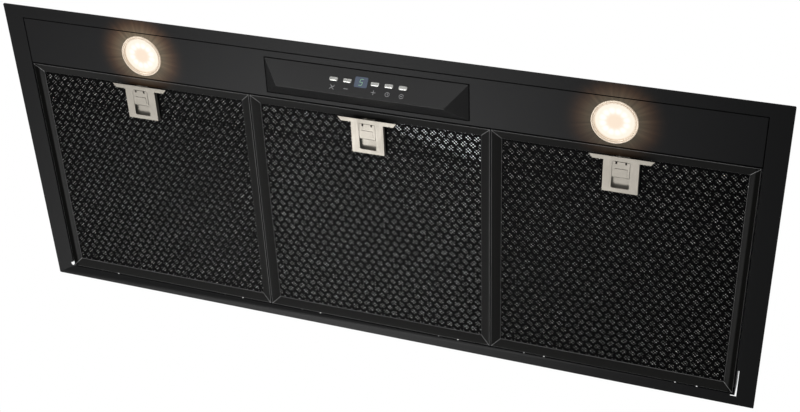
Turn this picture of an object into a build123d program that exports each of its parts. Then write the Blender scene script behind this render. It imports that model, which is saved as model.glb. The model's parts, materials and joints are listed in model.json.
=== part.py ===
from build123d import *
import math
import os

# Flush range hood insert: face plate, control strip, three grease filters, lamps and blower.
#
# Millimetres, installed attitude.  Z = 0 is the plane where the face plate's flange seats on the
# underside of the cabinet, at the centre of the plate; -Z is the cooking side, -Y the user's side.

CUT = 1.0                  # how far a cutting solid runs past the faces that it cuts

# ---- face plate -------------------------------------------------------------------------------
PLATE_W = 860.0            # whole width of the visible plate
PLATE_D = 370.0            # whole depth of the visible plate
FLANGE_T = 1.2             # sheet of the face frame
SIDE_MARGIN = 22.5         # flange beside the opening
END_MARGIN = 14.5          # flange in front of and behind the opening
PLATE_CORNER_R = 1.5
COLLAR_H = 20.0            # walls folded up round the opening
RELIEF_R = 3.0             # round bend relief in the left rear corner
RELIEF_OUT = 0.6           # its centre outside the opening's side edge
RELIEF_IN = 2.4            # and in front of the opening's rear edge
RELIEF_SLIT_W = 1.8        # straight bend relief in the right rear corner
RELIEF_SLIT_L = 36.0
RELIEF_FOOT_L = 6.5

OPEN_W = PLATE_W - 2 * SIDE_MARGIN
OPEN_D = PLATE_D - 2 * END_MARGIN
OPEN_FRONT = -OPEN_D / 2
OPEN_REAR = OPEN_D / 2

# ---- control strip ----------------------------------------------------------------------------
STRIP_D = 56.5             # depth of the strip along the front edge
STRIP_T = 0.8
STRIP_INSET = 0.3          # strip face above the flange face
STRIP_LIP_H = 10.0         # folded edges at the front and ends
STRIP_RAIL_H = 22.0        # folded edge that the latch bolts enter
STRIP_BEND_R = 0.7

STRIP_FACE_Z = -FLANGE_T + STRIP_INSET
STRIP_REAR = OPEN_FRONT + STRIP_D
STRIP_MID = OPEN_FRONT + STRIP_D / 2

# ---- control pod: a hipped wedge under the strip -------------------------------------------------
POD_W = 225.6
POD_D = 41.3
POD_RIDGE = 1.2            # flat along the ridge
POD_WALL = 2.0
POD_SETBACK = 1.3          # pod's centre behind the strip's middle
POD_EDGE = 3.0             # base ring that seats on the strip
POD_SKIRT_H = 5.0          # locating skirt above the strip face
POD_SKIRT_T = 1.5
POD_SKIRT_R = 1.0
POD_FIT = 0.3
POD_POST_R = 2.0
POD_POST_SPAN = 112.0
POD_POST_PITCH = 13.0

POD_H = (POD_D - POD_RIDGE) / 2
POD_Y = STRIP_MID + POD_SETBACK
POD_FRONT = POD_Y - POD_D / 2

# ---- buttons, display and control board ------------------------------------------------------------
BUTTON_PITCH = 15.2
BUTTON_W = 9.6
BUTTON_H = 4.4
BUTTON_R = 1.5
BUTTON_PROUD = 0.9
BUTTON_ROUND = 0.54        # rounding of the cap's crown
BUTTON_FIT = 0.3
BUTTON_TRAVEL = 1.0
BUTTON_FOOT = 1.0          # retaining rim round the button, inside the pod
BUTTON_FOOT_T = 0.8
BUTTON_STEM_R = 1.4
BUTTON_STEM_GAP = 0.2      # stem to switch when the button is pressed home
BUTTON_ROW = 12.9          # row's distance down the slope from its front edge
BUTTON_SLOTS = (-2, -1, 1, 2, 3)
DISPLAY_W = 14.2
DISPLAY_H = 11.4
DISPLAY_R = 1.6
DISPLAY_PROUD = 0.3
DISPLAY_FIT = 0.1
DISPLAY_T = 1.9
DIGIT_W = 12.4
DIGIT_H = 10.2
BOARD_T = 1.6
BOARD_H = 18.0
BOARD_MARGIN = 5.0         # board past the outer posts
BOARD_GAP = 6.2            # panel's inner face to the board
SWITCH_SIZE = 6.0
SWITCH_H = 1.9

# ---- lamps ------------------------------------------------------------------------------------
LAMP_INSET = 145.5          # lamp's centre inside the strip's end
LAMP_X = OPEN_W / 2 - LAMP_INSET
LAMP_Y = STRIP_MID
LAMP_RIM_R = 23.8
LAMP_RIM_H = 1.5
LAMP_RIM_W = 1.2
LAMP_CUP_R = 22.4
LAMP_CUP_H = 13.0
LAMP_LENS_R = 20.8
LAMP_LENS_T = 1.8
LAMP_LENS_SINK = 2.2       # lens face above the rim's face
LAMP_LEDS = 12
LAMP_LED_RING_R = 12.2
LAMP_LED_SIZE = 2.6
LAMP_LED_H = 0.8
LAMP_BOARD_T = 1.2
LAMP_BOARD_GAP = 3.0       # lens to LEDs
LAMP_FIT = 0.2
LAMP_SINK_H = 12.0
LAMP_FINS = 8
LAMP_FIN_T = 1.6

# ---- grease filters -----------------------------------------------------------------------------
FILTER_COUNT = 3
FILTER_GAP = 1.5           # between neighbours and at the side walls
FILTER_FRONT_GAP = 1.0
FILTER_REAR_GAP = 1.2
FILTER_T = 9.0
FILTER_SINK = 0.5          # rim above the flange face
FILTER_SHEET = 0.8
RIM_FLAT = 1.2             # flat edge before the rim slopes in
RIM_W = 10.4
RIM_SLOPE_H = 3.3
BACK_LIP_W = 8.4
MESH_T = 0.6
SCREEN_GAP = 0.1            # screens off the channel's lips
MESH_LAP = 5.0             # mesh held behind the rim
MESH_COLS = 7              # the screen's holes are drawn fewer and larger
MESH_ROWS = 9
MESH_OPEN = 0.68           # a hole's width over its pitch
MESH_SIDES = 6
BACK_SLOTS = 12
BACK_SLOT_W = 9.0
LUG_W = 22.0
LUG_T = 1.0
LUG_REACH = 4.5            # past the wall that the lug hooks through
LUG_SPACING = 170.0
LUG_SEAT_H = 0.2           # pad pressed into the flange under each lug
LUG_SEAT_D = 6.0           # pad's depth behind the opening
LUG_LIFT = 0.3             # lug above its pad
LUG_WINDOW_H = 7.5
LUG_SIDE_GAP = 1.5

FILTER_PITCH = (OPEN_W - FILTER_GAP) / FILTER_COUNT
FILTER_W = FILTER_PITCH - FILTER_GAP
FILTER_FACE_Z = -FLANGE_T + FILTER_SINK
FILTER_FRONT = STRIP_REAR + FILTER_FRONT_GAP
FILTER_REAR = OPEN_REAR - FILTER_REAR_GAP
FILTER_D = FILTER_REAR - FILTER_FRONT
FILTER_Y = (FILTER_FRONT + FILTER_REAR) / 2
FILTER_XS = [(i - (FILTER_COUNT - 1) / 2) * FILTER_PITCH for i in range(FILTER_COUNT)]
LIP_TOP_Z = FILTER_FACE_Z + RIM_SLOPE_H + FILTER_SHEET
MESH_Z = LIP_TOP_Z + SCREEN_GAP
BACK_MESH_Z = FILTER_FACE_Z + FILTER_T - FILTER_SHEET - MESH_T - SCREEN_GAP

# ---- filter latches -----------------------------------------------------------------------------
LATCH_LAP = 0.8             # bar over the rim's inner edge
LATCH_BAR_W = 66.6
LATCH_BAR_D = 4.8
LATCH_BAR_CUT = 3.8        # slant at each end of the bar
LATCH_BODY_W = 36.6
LATCH_BODY_D = 36.5
LATCH_TOP = FILTER_FRONT + RIM_W - LATCH_LAP
LATCH_PROUD = 0.9          # plate's face below the filter rim
LATCH_T = 0.8
LATCH_SLOT_W = 18.6
LATCH_SLOT_TOP = 5.0       # slot's front end behind the bar's front edge
LATCH_SLOT_D = 31.6
LATCH_SLOT_R = 1.6
TONGUE_FIT = 0.3
TONGUE_D = 17.6
TONGUE_LIP_R = 1.5
TONGUE_PAD_W = 13.0
TONGUE_PAD_D = 8.0
TONGUE_PAD_H = 0.4
TONGUE_PAD_R = 0.8
TONGUE_NOTCH_X = 5.0
TONGUE_NOTCH_W = 1.3
TONGUE_NOTCH_D = 2.6
TONGUE_TRAVEL = 5.0
BOLT_W = 14.0
BOLT_T = 1.2
BOLT_THROW = 2.7           # bolt past the rail's rear face
BOLT_GAP = 0.3
BOLT_SIDE_GAP = 0.6
BOLT_NECK_D = 2.0
BOLT_NECK_GAP = 0.4        # neck inside the notches

LATCH_FACE_Z = FILTER_FACE_Z - LATCH_PROUD
TONGUE_FRONT = LATCH_TOP + LATCH_SLOT_TOP + TONGUE_FIT
BOLT_Z = MESH_Z + MESH_T + BOLT_GAP

# ---- housing, dividers and blower box --------------------------------------------------------------
HOUSING_T = 0.8
HOUSING_FOOT = 10.0        # lower edge, lapped inside the folded walls
HOUSING_TOP = 95.0
HOUSING_KNEE_Z = 22.0      # the front wall leans back above this height
FRONT_LEAN = 30.0          # degrees from upright, of the housing and the blower box
DIVIDER_T = 1.0
DIVIDER_W = 14.0
DIVIDER_H = 12.0
DIVIDER_GAP = 1.0          # above the filters
SIDE_HOLE_R = 2.25
SIDE_HOLE_SPACING = 220.0
SIDE_HOLE_Z = 60.0
BEAD_R = 3.0               # pressed stiffening beads on the deck
BEAD_L = 200.0
BEAD_INSET = 22.0          # bead's centre line inside the deck's edge

BOX_W = 300.0
BOX_D = 270.0              # at its foot
BOX_Y = 21.0
BOX_H = 148.0
BOX_FOOT = 12.0            # out-turned foot screwed to the deck
BOX_CORNER_R = 4.0
DECK_HOLE_RIM = 4.0        # deck left inside the box wall

# ---- blower -----------------------------------------------------------------------------------
SHAFT_Y = 12.0
SHAFT_DROP = 93.0          # below the box's top
SHAFT_Z = HOUSING_TOP + BOX_H - SHAFT_DROP
BOX_KNEE_DROP = 30.0       # bend of the box's front wall, below the shaft
WHEEL_R = 75.0
WHEEL_BLADE_D = 13.0       # radial depth of a blade
WHEEL_HALF_W = 60.0
WHEEL_DISC_T = 2.0
WHEEL_RING_T = 2.5
WHEEL_BLADES = 26
BLADE_T = 0.9
BLADE_BOW = 3.2            # sagitta of the blade's curve
BLADE_FLATS = 3
BLADE_TIP_GAP = 0.5        # blade tips inside the rings' edge
HUB_R = 14.0
HUB_L = 22.0
SHAFT_R = 4.0
SHAFT_FIT = 0.05
SHAFT_STOP = 4.0           # shaft's end inside the motor
SCROLL_GAP = 7.0           # wheel to cut-off
SCROLL_STEP = 12.0         # growth of the scroll's radius each quarter turn
SCROLL_HALF_W = 69.0
SCROLL_T = 1.0
INLET_R = 64.0
INLET_LIP_R = 2.5
LIP_SIDES = 8              # flats of the rolled ring's section
MOTOR_R = 46.0
MOTOR_START = 14.0
MOTOR_END = 76.0
MOTOR_ROUND = 5.0
MOTOR_CAP_R = 24.0
MOTOR_CAP_L = 5.0
SPIDER_T = 2.0
SPIDER_ARM_W = 16.0
SPIDER_REACH = 78.0
SPIDER_RING_R = 50.0
SPIDER_CAP_GAP = 1.0       # ring's hole round the motor's cap
SPIDER_ARM_L = 36.0        # arm's inner end to its bush
SPIDER_ARMS = 3
BUSH_R = 8.0
BUSH_HOLE_R = 2.2

# ---- outlet collar and backdraught flaps -------------------------------------------------------------
SPIGOT_R = 74.5
SPIGOT_T = 2.0
SPIGOT_H = 32.0
SPIGOT_BASE = 172.0
SPIGOT_BASE_T = 2.0
SPIGOT_BASE_R = 12.0
SPIGOT_GROOVE = 0.8        # depth of the groove for the duct's clamp
SPIGOT_GROOVE_H = 4.0
SPIGOT_GROOVE_DROP = 6.0   # groove below the collar's mouth
FLAP_SEAT_H = 11.0
FLAP_SEAT_W = 3.0
FLAP_SEAT_T = 1.5
FLAP_T = 0.8
FLAP_GAP = 0.3
FLAP_EDGE_GAP = 1.2
FLAP_PIN_R = 1.5
FLAP_PIN_FIT = 0.06
KNUCKLE_R = 3.0
KNUCKLE_L = 12.0
KNUCKLE_PITCH = 32.0
KNUCKLE_LAP = 1.0          # leaf past the flap's straight edge under a knuckle
COLLAR_SCREW_INSET = 9.0   # screw inside the foot's edge

# ---- electrics on the deck and cabinet clips -------------------------------------------------------
CASE_W = 150.0
CASE_D = 96.0
CASE_H = 34.0
CASE_WALL = 2.0
CASE_R = 3.0
CASE_FIT = 0.2
CASE_PLUG_H = 2.0          # lid's rim inside the walls
CASE_LID_T = 3.0
CASE_X = -262.0
CASE_Y = 60.0
DRIVER_W = 96.0
DRIVER_D = 42.0
DRIVER_H = 26.0
DRIVER_X = 262.0
DRIVER_Y = -70.0
DRIVER_R = 4.0
DRIVER_CHAMFER = 1.5
CAPACITOR_R = 17.0
CAPACITOR_L = 62.0
CAPACITOR_X = 225.0
CAPACITOR_Y = 60.0
CAPACITOR_ROUND = 1.5
GLAND_R = 4.0
GLAND_BODY_R = 8.0
GLAND_NUT_R = 10.5
GLAND_L = 18.0
GLAND_NUT_H = 6.0
CLIP_W = 24.0
CLIP_T = 0.8
CLIP_TOP = 72.0
CLIP_BOTTOM = 24.0
CLIP_FLARE = 9.0
CLIP_BEND_Z = 37.5         # widest point of the leaf
CLIP_PLATE_H = 18.0        # flat part against the side wall
CLIP_SPACING = 180.0
SCREW_HEAD_R = 3.6         # hexagon, corner to centre
SCREW_HEAD_H = 2.4
SIDE_SCREWS = 3            # on each short side of the blower box
END_SCREWS = 2             # on each long side
SCREW_INSET = 40.0         # outer screws inside the box's corner


# ---- helpers ----------------------------------------------------------------------------------
def block(x0, x1, y0, y1, z0, z1):
    """A box between two corners."""
    return Pos((x0 + x1) / 2, (y0 + y1) / 2, (z0 + z1) / 2) * Box(x1 - x0, y1 - y0, z1 - z0)


def column(x, y, z0, z1, radius):
    """An upright cylinder."""
    return Pos(x, y, (z0 + z1) / 2) * Cylinder(radius, z1 - z0)


def rounded_slab(width, depth, radius, z0, z1, x=0.0, y=0.0):
    """A slab with rounded upright corners."""
    outline = RectangleRounded(width, depth, radius)
    return Pos(x, y, z0) * extrude(outline, z1 - z0)


def across(y, z):
    """The plane whose axis runs along +X through (y, z); its own axes are Y and Z."""
    return Plane(origin=(0, y, z), x_dir=(0, 1, 0), z_dir=(1, 0, 0))


def slope_plane(down):
    """The plane on the pod's front slope, at a distance down from its front edge."""
    share = down / math.sqrt(2)
    origin = (0, POD_FRONT + share, STRIP_FACE_Z - share)
    return Plane(origin=origin, x_dir=(1, 0, 0), z_dir=(0, -1, -1))


# ---- face plate and strip ---------------------------------------------------------------------------
def face_frame():
    """Flat flange with walls folded up round the opening and bend reliefs at the rear corners."""
    flange = rounded_slab(PLATE_W, PLATE_D, PLATE_CORNER_R, -FLANGE_T, 0)
    walls = block(-OPEN_W / 2 - FLANGE_T, OPEN_W / 2 + FLANGE_T,
                  OPEN_FRONT - FLANGE_T, OPEN_REAR + FLANGE_T, 0, COLLAR_H)
    frame = flange + walls
    low = -FLANGE_T - CUT
    high = COLLAR_H + CUT
    frame -= block(-OPEN_W / 2, OPEN_W / 2, OPEN_FRONT, OPEN_REAR, low, high)
    frame -= column(-OPEN_W / 2 - RELIEF_OUT, OPEN_REAR - RELIEF_IN, low, high, RELIEF_R)
    slit_x = OPEN_W / 2 + FLANGE_T
    slit_y = OPEN_REAR + FLANGE_T
    frame -= block(slit_x, slit_x + RELIEF_SLIT_W, slit_y + RELIEF_SLIT_W - RELIEF_SLIT_L,
                   slit_y + RELIEF_SLIT_W, low, CUT)
    frame -= block(slit_x + RELIEF_SLIT_W - RELIEF_FOOT_L, slit_x + RELIEF_SLIT_W,
                   slit_y, slit_y + RELIEF_SLIT_W, low, CUT)
    for x in lug_places():
        half = LUG_W / 2 + LUG_SIDE_GAP
        frame -= block(x - half, x + half, OPEN_REAR - CUT, OPEN_REAR + LUG_SEAT_D,
                       -LUG_SEAT_H, LUG_WINDOW_H)
    return frame


def lug_places():
    """Where the filters' rear lugs pass through the rear wall."""
    return [x + side * LUG_SPACING / 2 for x in FILTER_XS for side in (-1, 1)]


def control_strip():
    """Folded tray along the front, cut out for the lamps, the pod and the latch bolts."""
    top = STRIP_FACE_Z + STRIP_RAIL_H
    tray = block(-OPEN_W / 2, OPEN_W / 2, OPEN_FRONT, STRIP_REAR, STRIP_FACE_Z, top)
    long_edges = tray.edges().filter_by(Axis.X).sort_by(Axis.Z)[:2]
    tray = fillet(long_edges, STRIP_BEND_R)
    tray -= block(-OPEN_W / 2 + STRIP_T, OPEN_W / 2 - STRIP_T, OPEN_FRONT + STRIP_T,
                  STRIP_REAR - STRIP_T, STRIP_FACE_Z + STRIP_T, top + CUT)
    tray -= block(-OPEN_W, OPEN_W, OPEN_FRONT - CUT, STRIP_REAR - STRIP_T,
                  STRIP_FACE_Z + STRIP_LIP_H, top + CUT)
    low = STRIP_FACE_Z - CUT
    high = STRIP_FACE_Z + STRIP_T + CUT
    for side in (-1, 1):
        wall = side * OPEN_W / 2
        tray -= block(wall - HOUSING_T, wall + HOUSING_T, OPEN_FRONT, STRIP_REAR + CUT,
                      STRIP_FACE_Z + STRIP_LIP_H, top + CUT)
        tray -= column(side * LAMP_X, LAMP_Y, low, high, LAMP_CUP_R + LAMP_FIT)
    tray -= block(-POD_W / 2 + POD_EDGE, POD_W / 2 - POD_EDGE, POD_FRONT + POD_EDGE,
                  POD_FRONT + POD_D - POD_EDGE, low, high)
    for x in FILTER_XS:
        half = BOLT_W / 2 + BOLT_SIDE_GAP
        tray -= block(x - half, x + half, STRIP_REAR - STRIP_T - CUT, STRIP_REAR + CUT,
                      BOLT_Z - BOLT_GAP, BOLT_Z + BOLT_T + BOLT_GAP)
    return tray


# ---- control pod and its contents --------------------------------------------------------------------
def hipped_wedge(width, depth, base_z, height):
    """A roof shape hanging from base_z, with all four faces at 45 degrees."""
    base = Pos(0, POD_Y, base_z) * Rectangle(width, depth)
    ridge = Pos(0, POD_Y, base_z - height) * Rectangle(width - 2 * height, depth - 2 * height)
    return loft([base, ridge], ruled=True)


def control_pod():
    """Hollow hipped moulding with a pierced front slope, locating skirt and board posts."""
    setback = 2 * math.sqrt(2) * POD_WALL
    outer = hipped_wedge(POD_W, POD_D, STRIP_FACE_Z, POD_H)
    inner_h = (POD_D - setback - POD_RIDGE) / 2
    pod = outer - hipped_wedge(POD_W - setback, POD_D - setback, STRIP_FACE_Z, inner_h)
    skirt_w = POD_W - 2 * POD_EDGE - 2 * POD_FIT
    skirt_d = POD_D - 2 * POD_EDGE - 2 * POD_FIT
    skirt_top = STRIP_FACE_Z + POD_SKIRT_H
    skirt = rounded_slab(skirt_w, skirt_d, POD_SKIRT_R, STRIP_FACE_Z - POD_SKIRT_T, skirt_top,
                         0, POD_Y)
    skirt -= block(-skirt_w / 2 + POD_SKIRT_T, skirt_w / 2 - POD_SKIRT_T,
                   POD_Y - skirt_d / 2 + POD_SKIRT_T, POD_Y + skirt_d / 2 - POD_SKIRT_T,
                   STRIP_FACE_Z - POD_SKIRT_T - CUT, skirt_top + CUT)
    pod += skirt
    panel = slope_plane(BUTTON_ROW)
    for x in (-POD_POST_SPAN / 2, POD_POST_SPAN / 2):
        for lift in (-POD_POST_PITCH / 2, POD_POST_PITCH / 2):
            post = extrude(panel * Pos(x, lift, -POD_WALL / 2) * RegularPolygon(POD_POST_R, 6),
                           -(BOARD_GAP + POD_WALL / 2))
            pod += post
    for slot in BUTTON_SLOTS:
        hole = RectangleRounded(BUTTON_W + 2 * BUTTON_FIT, BUTTON_H + 2 * BUTTON_FIT,
                                BUTTON_R + BUTTON_FIT)
        pod -= extrude(panel * Pos(slot * BUTTON_PITCH, 0, CUT) * hole, -POD_WALL - 2 * CUT)
    window = RectangleRounded(DISPLAY_W + 2 * DISPLAY_FIT, DISPLAY_H + 2 * DISPLAY_FIT, DISPLAY_R)
    return pod - extrude(panel * Pos(0, 0, CUT) * window, -POD_WALL - 2 * CUT)


def button(slot):
    """One push button: cap, retaining rim and stem, square to the pod's slope."""
    panel = slope_plane(BUTTON_ROW) * Pos(slot * BUTTON_PITCH, 0, 0)
    rim_top = -POD_WALL - BUTTON_FIT
    cap = extrude(panel * Pos(0, 0, rim_top) * RectangleRounded(BUTTON_W, BUTTON_H, BUTTON_R),
                  BUTTON_PROUD - rim_top)
    crown = cap.faces().sort_by(Axis((0, 0, 0), (0, -1, -1)))[-1]
    cap = chamfer(crown.edges(), min(BUTTON_ROUND, BUTTON_H / 3))
    rim = Rectangle(BUTTON_W + 2 * BUTTON_FOOT, BUTTON_H + 2 * BUTTON_FOOT)
    cap += extrude(panel * Pos(0, 0, rim_top) * rim, -BUTTON_FOOT_T)
    stem_end = -POD_WALL - BOARD_GAP + SWITCH_H + BUTTON_TRAVEL + BUTTON_STEM_GAP
    stem = panel * Pos(0, 0, rim_top) * RegularPolygon(BUTTON_STEM_R, 6)
    return cap + extrude(stem, stem_end - rim_top)


def display_window():
    """Tinted window in the pod's slope."""
    panel = slope_plane(BUTTON_ROW) * Pos(0, 0, DISPLAY_PROUD)
    return extrude(panel * RectangleRounded(DISPLAY_W, DISPLAY_H, DISPLAY_R), -DISPLAY_T)


def digit_module():
    """Single digit block between the window and the board."""
    top = DISPLAY_PROUD - DISPLAY_T - DISPLAY_FIT
    panel = slope_plane(BUTTON_ROW) * Pos(0, 0, top)
    return extrude(panel * Rectangle(DIGIT_W, DIGIT_H), -POD_WALL - BOARD_GAP - top)


def control_board():
    """Board behind the slope, on the pod's four posts."""
    panel = slope_plane(BUTTON_ROW) * Pos(0, 0, -POD_WALL - BOARD_GAP)
    outline = Rectangle(POD_POST_SPAN + 2 * BOARD_MARGIN, BOARD_H)
    return extrude(panel * outline, -BOARD_T)


def key_switches():
    """The five small switches under the buttons."""
    group = []
    for slot in BUTTON_SLOTS:
        panel = slope_plane(BUTTON_ROW) * Pos(slot * BUTTON_PITCH, 0, -POD_WALL - BOARD_GAP)
        group.append(extrude(panel * Rectangle(SWITCH_SIZE, SWITCH_SIZE), SWITCH_H))
    return Compound(group)


# ---- lamps ------------------------------------------------------------------------------------
def lamp_rim(x):
    """Bright rim and the cup behind it, set in the strip's round cut-out."""
    low = STRIP_FACE_Z - LAMP_RIM_H
    rim = column(x, LAMP_Y, low, STRIP_FACE_Z, LAMP_RIM_R)
    outer_edge = rim.edges().filter_by(GeomType.CIRCLE).sort_by(Axis.Z)[0]
    rim = chamfer(outer_edge, LAMP_RIM_W / 2)
    cup = rim + column(x, LAMP_Y, STRIP_FACE_Z, STRIP_FACE_Z + LAMP_CUP_H, LAMP_CUP_R)
    bore = LAMP_LENS_R + LAMP_FIT
    cup -= column(x, LAMP_Y, low - CUT, STRIP_FACE_Z + LAMP_CUP_H + CUT, bore)
    mouth = Pos(x, LAMP_Y, low + LAMP_LENS_SINK / 2)
    return cup - mouth * Cone(LAMP_RIM_R - LAMP_RIM_W, bore, LAMP_LENS_SINK)


def lamp_lens(x):
    """Frosted disc just inside the rim."""
    face = STRIP_FACE_Z - LAMP_RIM_H + LAMP_LENS_SINK
    return column(x, LAMP_Y, face, face + LAMP_LENS_T, LAMP_LENS_R)


def lamp_board_z():
    """Underside of the lamp's board, above its LEDs."""
    lens_top = STRIP_FACE_Z - LAMP_RIM_H + LAMP_LENS_SINK + LAMP_LENS_T
    return lens_top + LAMP_BOARD_GAP + LAMP_LED_H


def lamp_board(x):
    """Round board with its ring of LEDs."""
    base = lamp_board_z()
    board = column(x, LAMP_Y, base, base + LAMP_BOARD_T, LAMP_LENS_R)
    for step in range(LAMP_LEDS):
        spin = Rot(0, 0, 360 * step / LAMP_LEDS)
        chip = Pos(LAMP_LED_RING_R, 0, -LAMP_LED_H / 2) * Box(LAMP_LED_SIZE, LAMP_LED_SIZE,
                                                               LAMP_LED_H)
        board += Pos(x, LAMP_Y, base) * spin * chip
    return board


def lamp_heat_sink(x):
    """Finned disc that closes the cup behind the board."""
    base = lamp_board_z() + LAMP_BOARD_T
    cup_top = STRIP_FACE_Z + LAMP_CUP_H
    sink = column(x, LAMP_Y, base, cup_top, LAMP_LENS_R)
    sink += column(x, LAMP_Y, cup_top, cup_top + LAMP_SINK_H, LAMP_CUP_R)
    pitch = 2 * LAMP_CUP_R / LAMP_FINS
    for step in range(LAMP_FINS):
        left = x - LAMP_CUP_R + step * pitch + LAMP_FIN_T / 2
        sink -= block(left, left + pitch - LAMP_FIN_T, LAMP_Y - LAMP_RIM_R, LAMP_Y + LAMP_RIM_R,
                      cup_top + LAMP_FIN_T, cup_top + LAMP_SINK_H + CUT)
    return sink


# ---- grease filters -----------------------------------------------------------------------------
def filter_frame(x):
    """Folded channel with mitred corners, a bevelled rim, rear lugs and a bolt slot."""
    rim = [(0, 0), (RIM_FLAT, 0), (RIM_W, RIM_SLOPE_H), (RIM_W, RIM_SLOPE_H + FILTER_SHEET),
           (RIM_FLAT, FILTER_SHEET), (FILTER_SHEET, FILTER_SHEET),
           (FILTER_SHEET, FILTER_T - FILTER_SHEET), (BACK_LIP_W, FILTER_T - FILTER_SHEET),
           (BACK_LIP_W, FILTER_T), (0, FILTER_T)]
    path = Pos(x, FILTER_Y, FILTER_FACE_Z) * Rectangle(FILTER_W, FILTER_D).wire()
    start = Plane(origin=(x, FILTER_FRONT, FILTER_FACE_Z), x_dir=(0, 1, 0), z_dir=(1, 0, 0))
    section = start * make_face(Polyline(*rim, close=True))
    frame = sweep(section, path=path, transition=Transition.RIGHT)
    lug_low = LUG_LIFT - LUG_SEAT_H
    for side in (-1, 1):
        middle = x + side * LUG_SPACING / 2
        frame += block(middle - LUG_W / 2, middle + LUG_W / 2, FILTER_REAR - FILTER_SHEET,
                       OPEN_REAR + LUG_REACH, lug_low, lug_low + LUG_T)
    half = BOLT_W / 2 + BOLT_GAP
    frame -= block(x - half, x + half, FILTER_FRONT - CUT, FILTER_FRONT + FILTER_SHEET + CUT,
                   BOLT_Z - BOLT_GAP, BOLT_Z + BOLT_T + BOLT_GAP)
    return frame


def filter_mesh(x):
    """Front screen: one sheet pierced with staggered holes, cut out behind the latch."""
    window_w = FILTER_W - 2 * RIM_W
    window_d = FILTER_D - 2 * RIM_W
    sheet = Rectangle(window_w + 2 * MESH_LAP, window_d + 2 * MESH_LAP)
    cell_w = window_w / MESH_COLS
    cell_d = window_d / MESH_ROWS
    hole_r = cell_w * MESH_OPEN / 2
    hole = RegularPolygon(hole_r, MESH_SIDES)
    latch_rear = LATCH_TOP + LATCH_BAR_D + LATCH_BODY_D - FILTER_Y
    places = []
    for row in range(MESH_ROWS):
        v = (row - (MESH_ROWS - 1) / 2) * cell_d
        columns = MESH_COLS - row % 2
        for column_index in range(columns):
            u = (column_index - (columns - 1) / 2) * cell_w
            if abs(u) < LATCH_BODY_W / 2 + hole_r and v - hole_r < latch_rear:
                continue
            places.append(Pos(u, v))
    sheet -= [place * hole for place in places]
    neck_front = TONGUE_FRONT - FILTER_Y
    sheet -= Pos(0, neck_front + (BOLT_NECK_D + TONGUE_TRAVEL) / 2) * Rectangle(
        BOLT_W + 2 * BOLT_SIDE_GAP, BOLT_NECK_D + TONGUE_TRAVEL + 2 * BOLT_SIDE_GAP)
    return Pos(x, FILTER_Y, MESH_Z) * extrude(sheet, MESH_T)


def filter_back(x):
    """Rear retaining sheet with long slots, held under the channel's back lip."""
    window_w = FILTER_W - 2 * BACK_LIP_W
    window_d = FILTER_D - 2 * BACK_LIP_W
    sheet = Rectangle(window_w + 2 * MESH_LAP, window_d + 2 * MESH_LAP)
    pitch = window_w / BACK_SLOTS
    for step in range(BACK_SLOTS):
        place = Pos((step - (BACK_SLOTS - 1) / 2) * pitch, 0)
        sheet -= place * Rectangle(BACK_SLOT_W, window_d - pitch)
    return Pos(x, FILTER_Y, BACK_MESH_Z) * extrude(sheet, MESH_T)


def latch_plate(x):
    """T-shaped plate on the filter: bar, shallow tray body and the slot for the tongue."""
    face = LATCH_FACE_Z
    bar = [(-LATCH_BAR_W / 2, LATCH_TOP), (LATCH_BAR_W / 2, LATCH_TOP),
           (LATCH_BAR_W / 2 - LATCH_BAR_CUT, LATCH_TOP + LATCH_BAR_D),
           (-LATCH_BAR_W / 2 + LATCH_BAR_CUT, LATCH_TOP + LATCH_BAR_D)]
    plate = Pos(0, 0, face) * extrude(make_face(Polyline(*bar, close=True)), LATCH_T)
    body_front = LATCH_TOP + LATCH_BAR_D / 2
    body_rear = LATCH_TOP + LATCH_BAR_D + LATCH_BODY_D
    half = LATCH_BODY_W / 2
    plate += block(-half, half, body_front, body_rear, face, face + LATCH_T)
    tray_front = LATCH_TOP + LATCH_BAR_D
    tray = block(-half, half, tray_front, body_rear, face, MESH_Z)
    tray -= block(-half + LATCH_T, half - LATCH_T, tray_front + LATCH_T, body_rear - LATCH_T,
                  face - CUT, MESH_Z - LATCH_T)
    plate += tray
    slot_front = LATCH_TOP + LATCH_SLOT_TOP
    slot = rounded_slab(LATCH_SLOT_W, LATCH_SLOT_D, LATCH_SLOT_R, face - CUT, face + LATCH_T,
                        0, slot_front + LATCH_SLOT_D / 2)
    plate -= slot
    neck = BOLT_W / 2 + BOLT_SIDE_GAP
    plate -= block(-neck, neck, tray_front - CUT,
                   TONGUE_FRONT + BOLT_NECK_D + TONGUE_TRAVEL + BOLT_GAP,
                   face + LATCH_T, MESH_Z + CUT)
    return Pos(x, 0, 0) * plate


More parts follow.
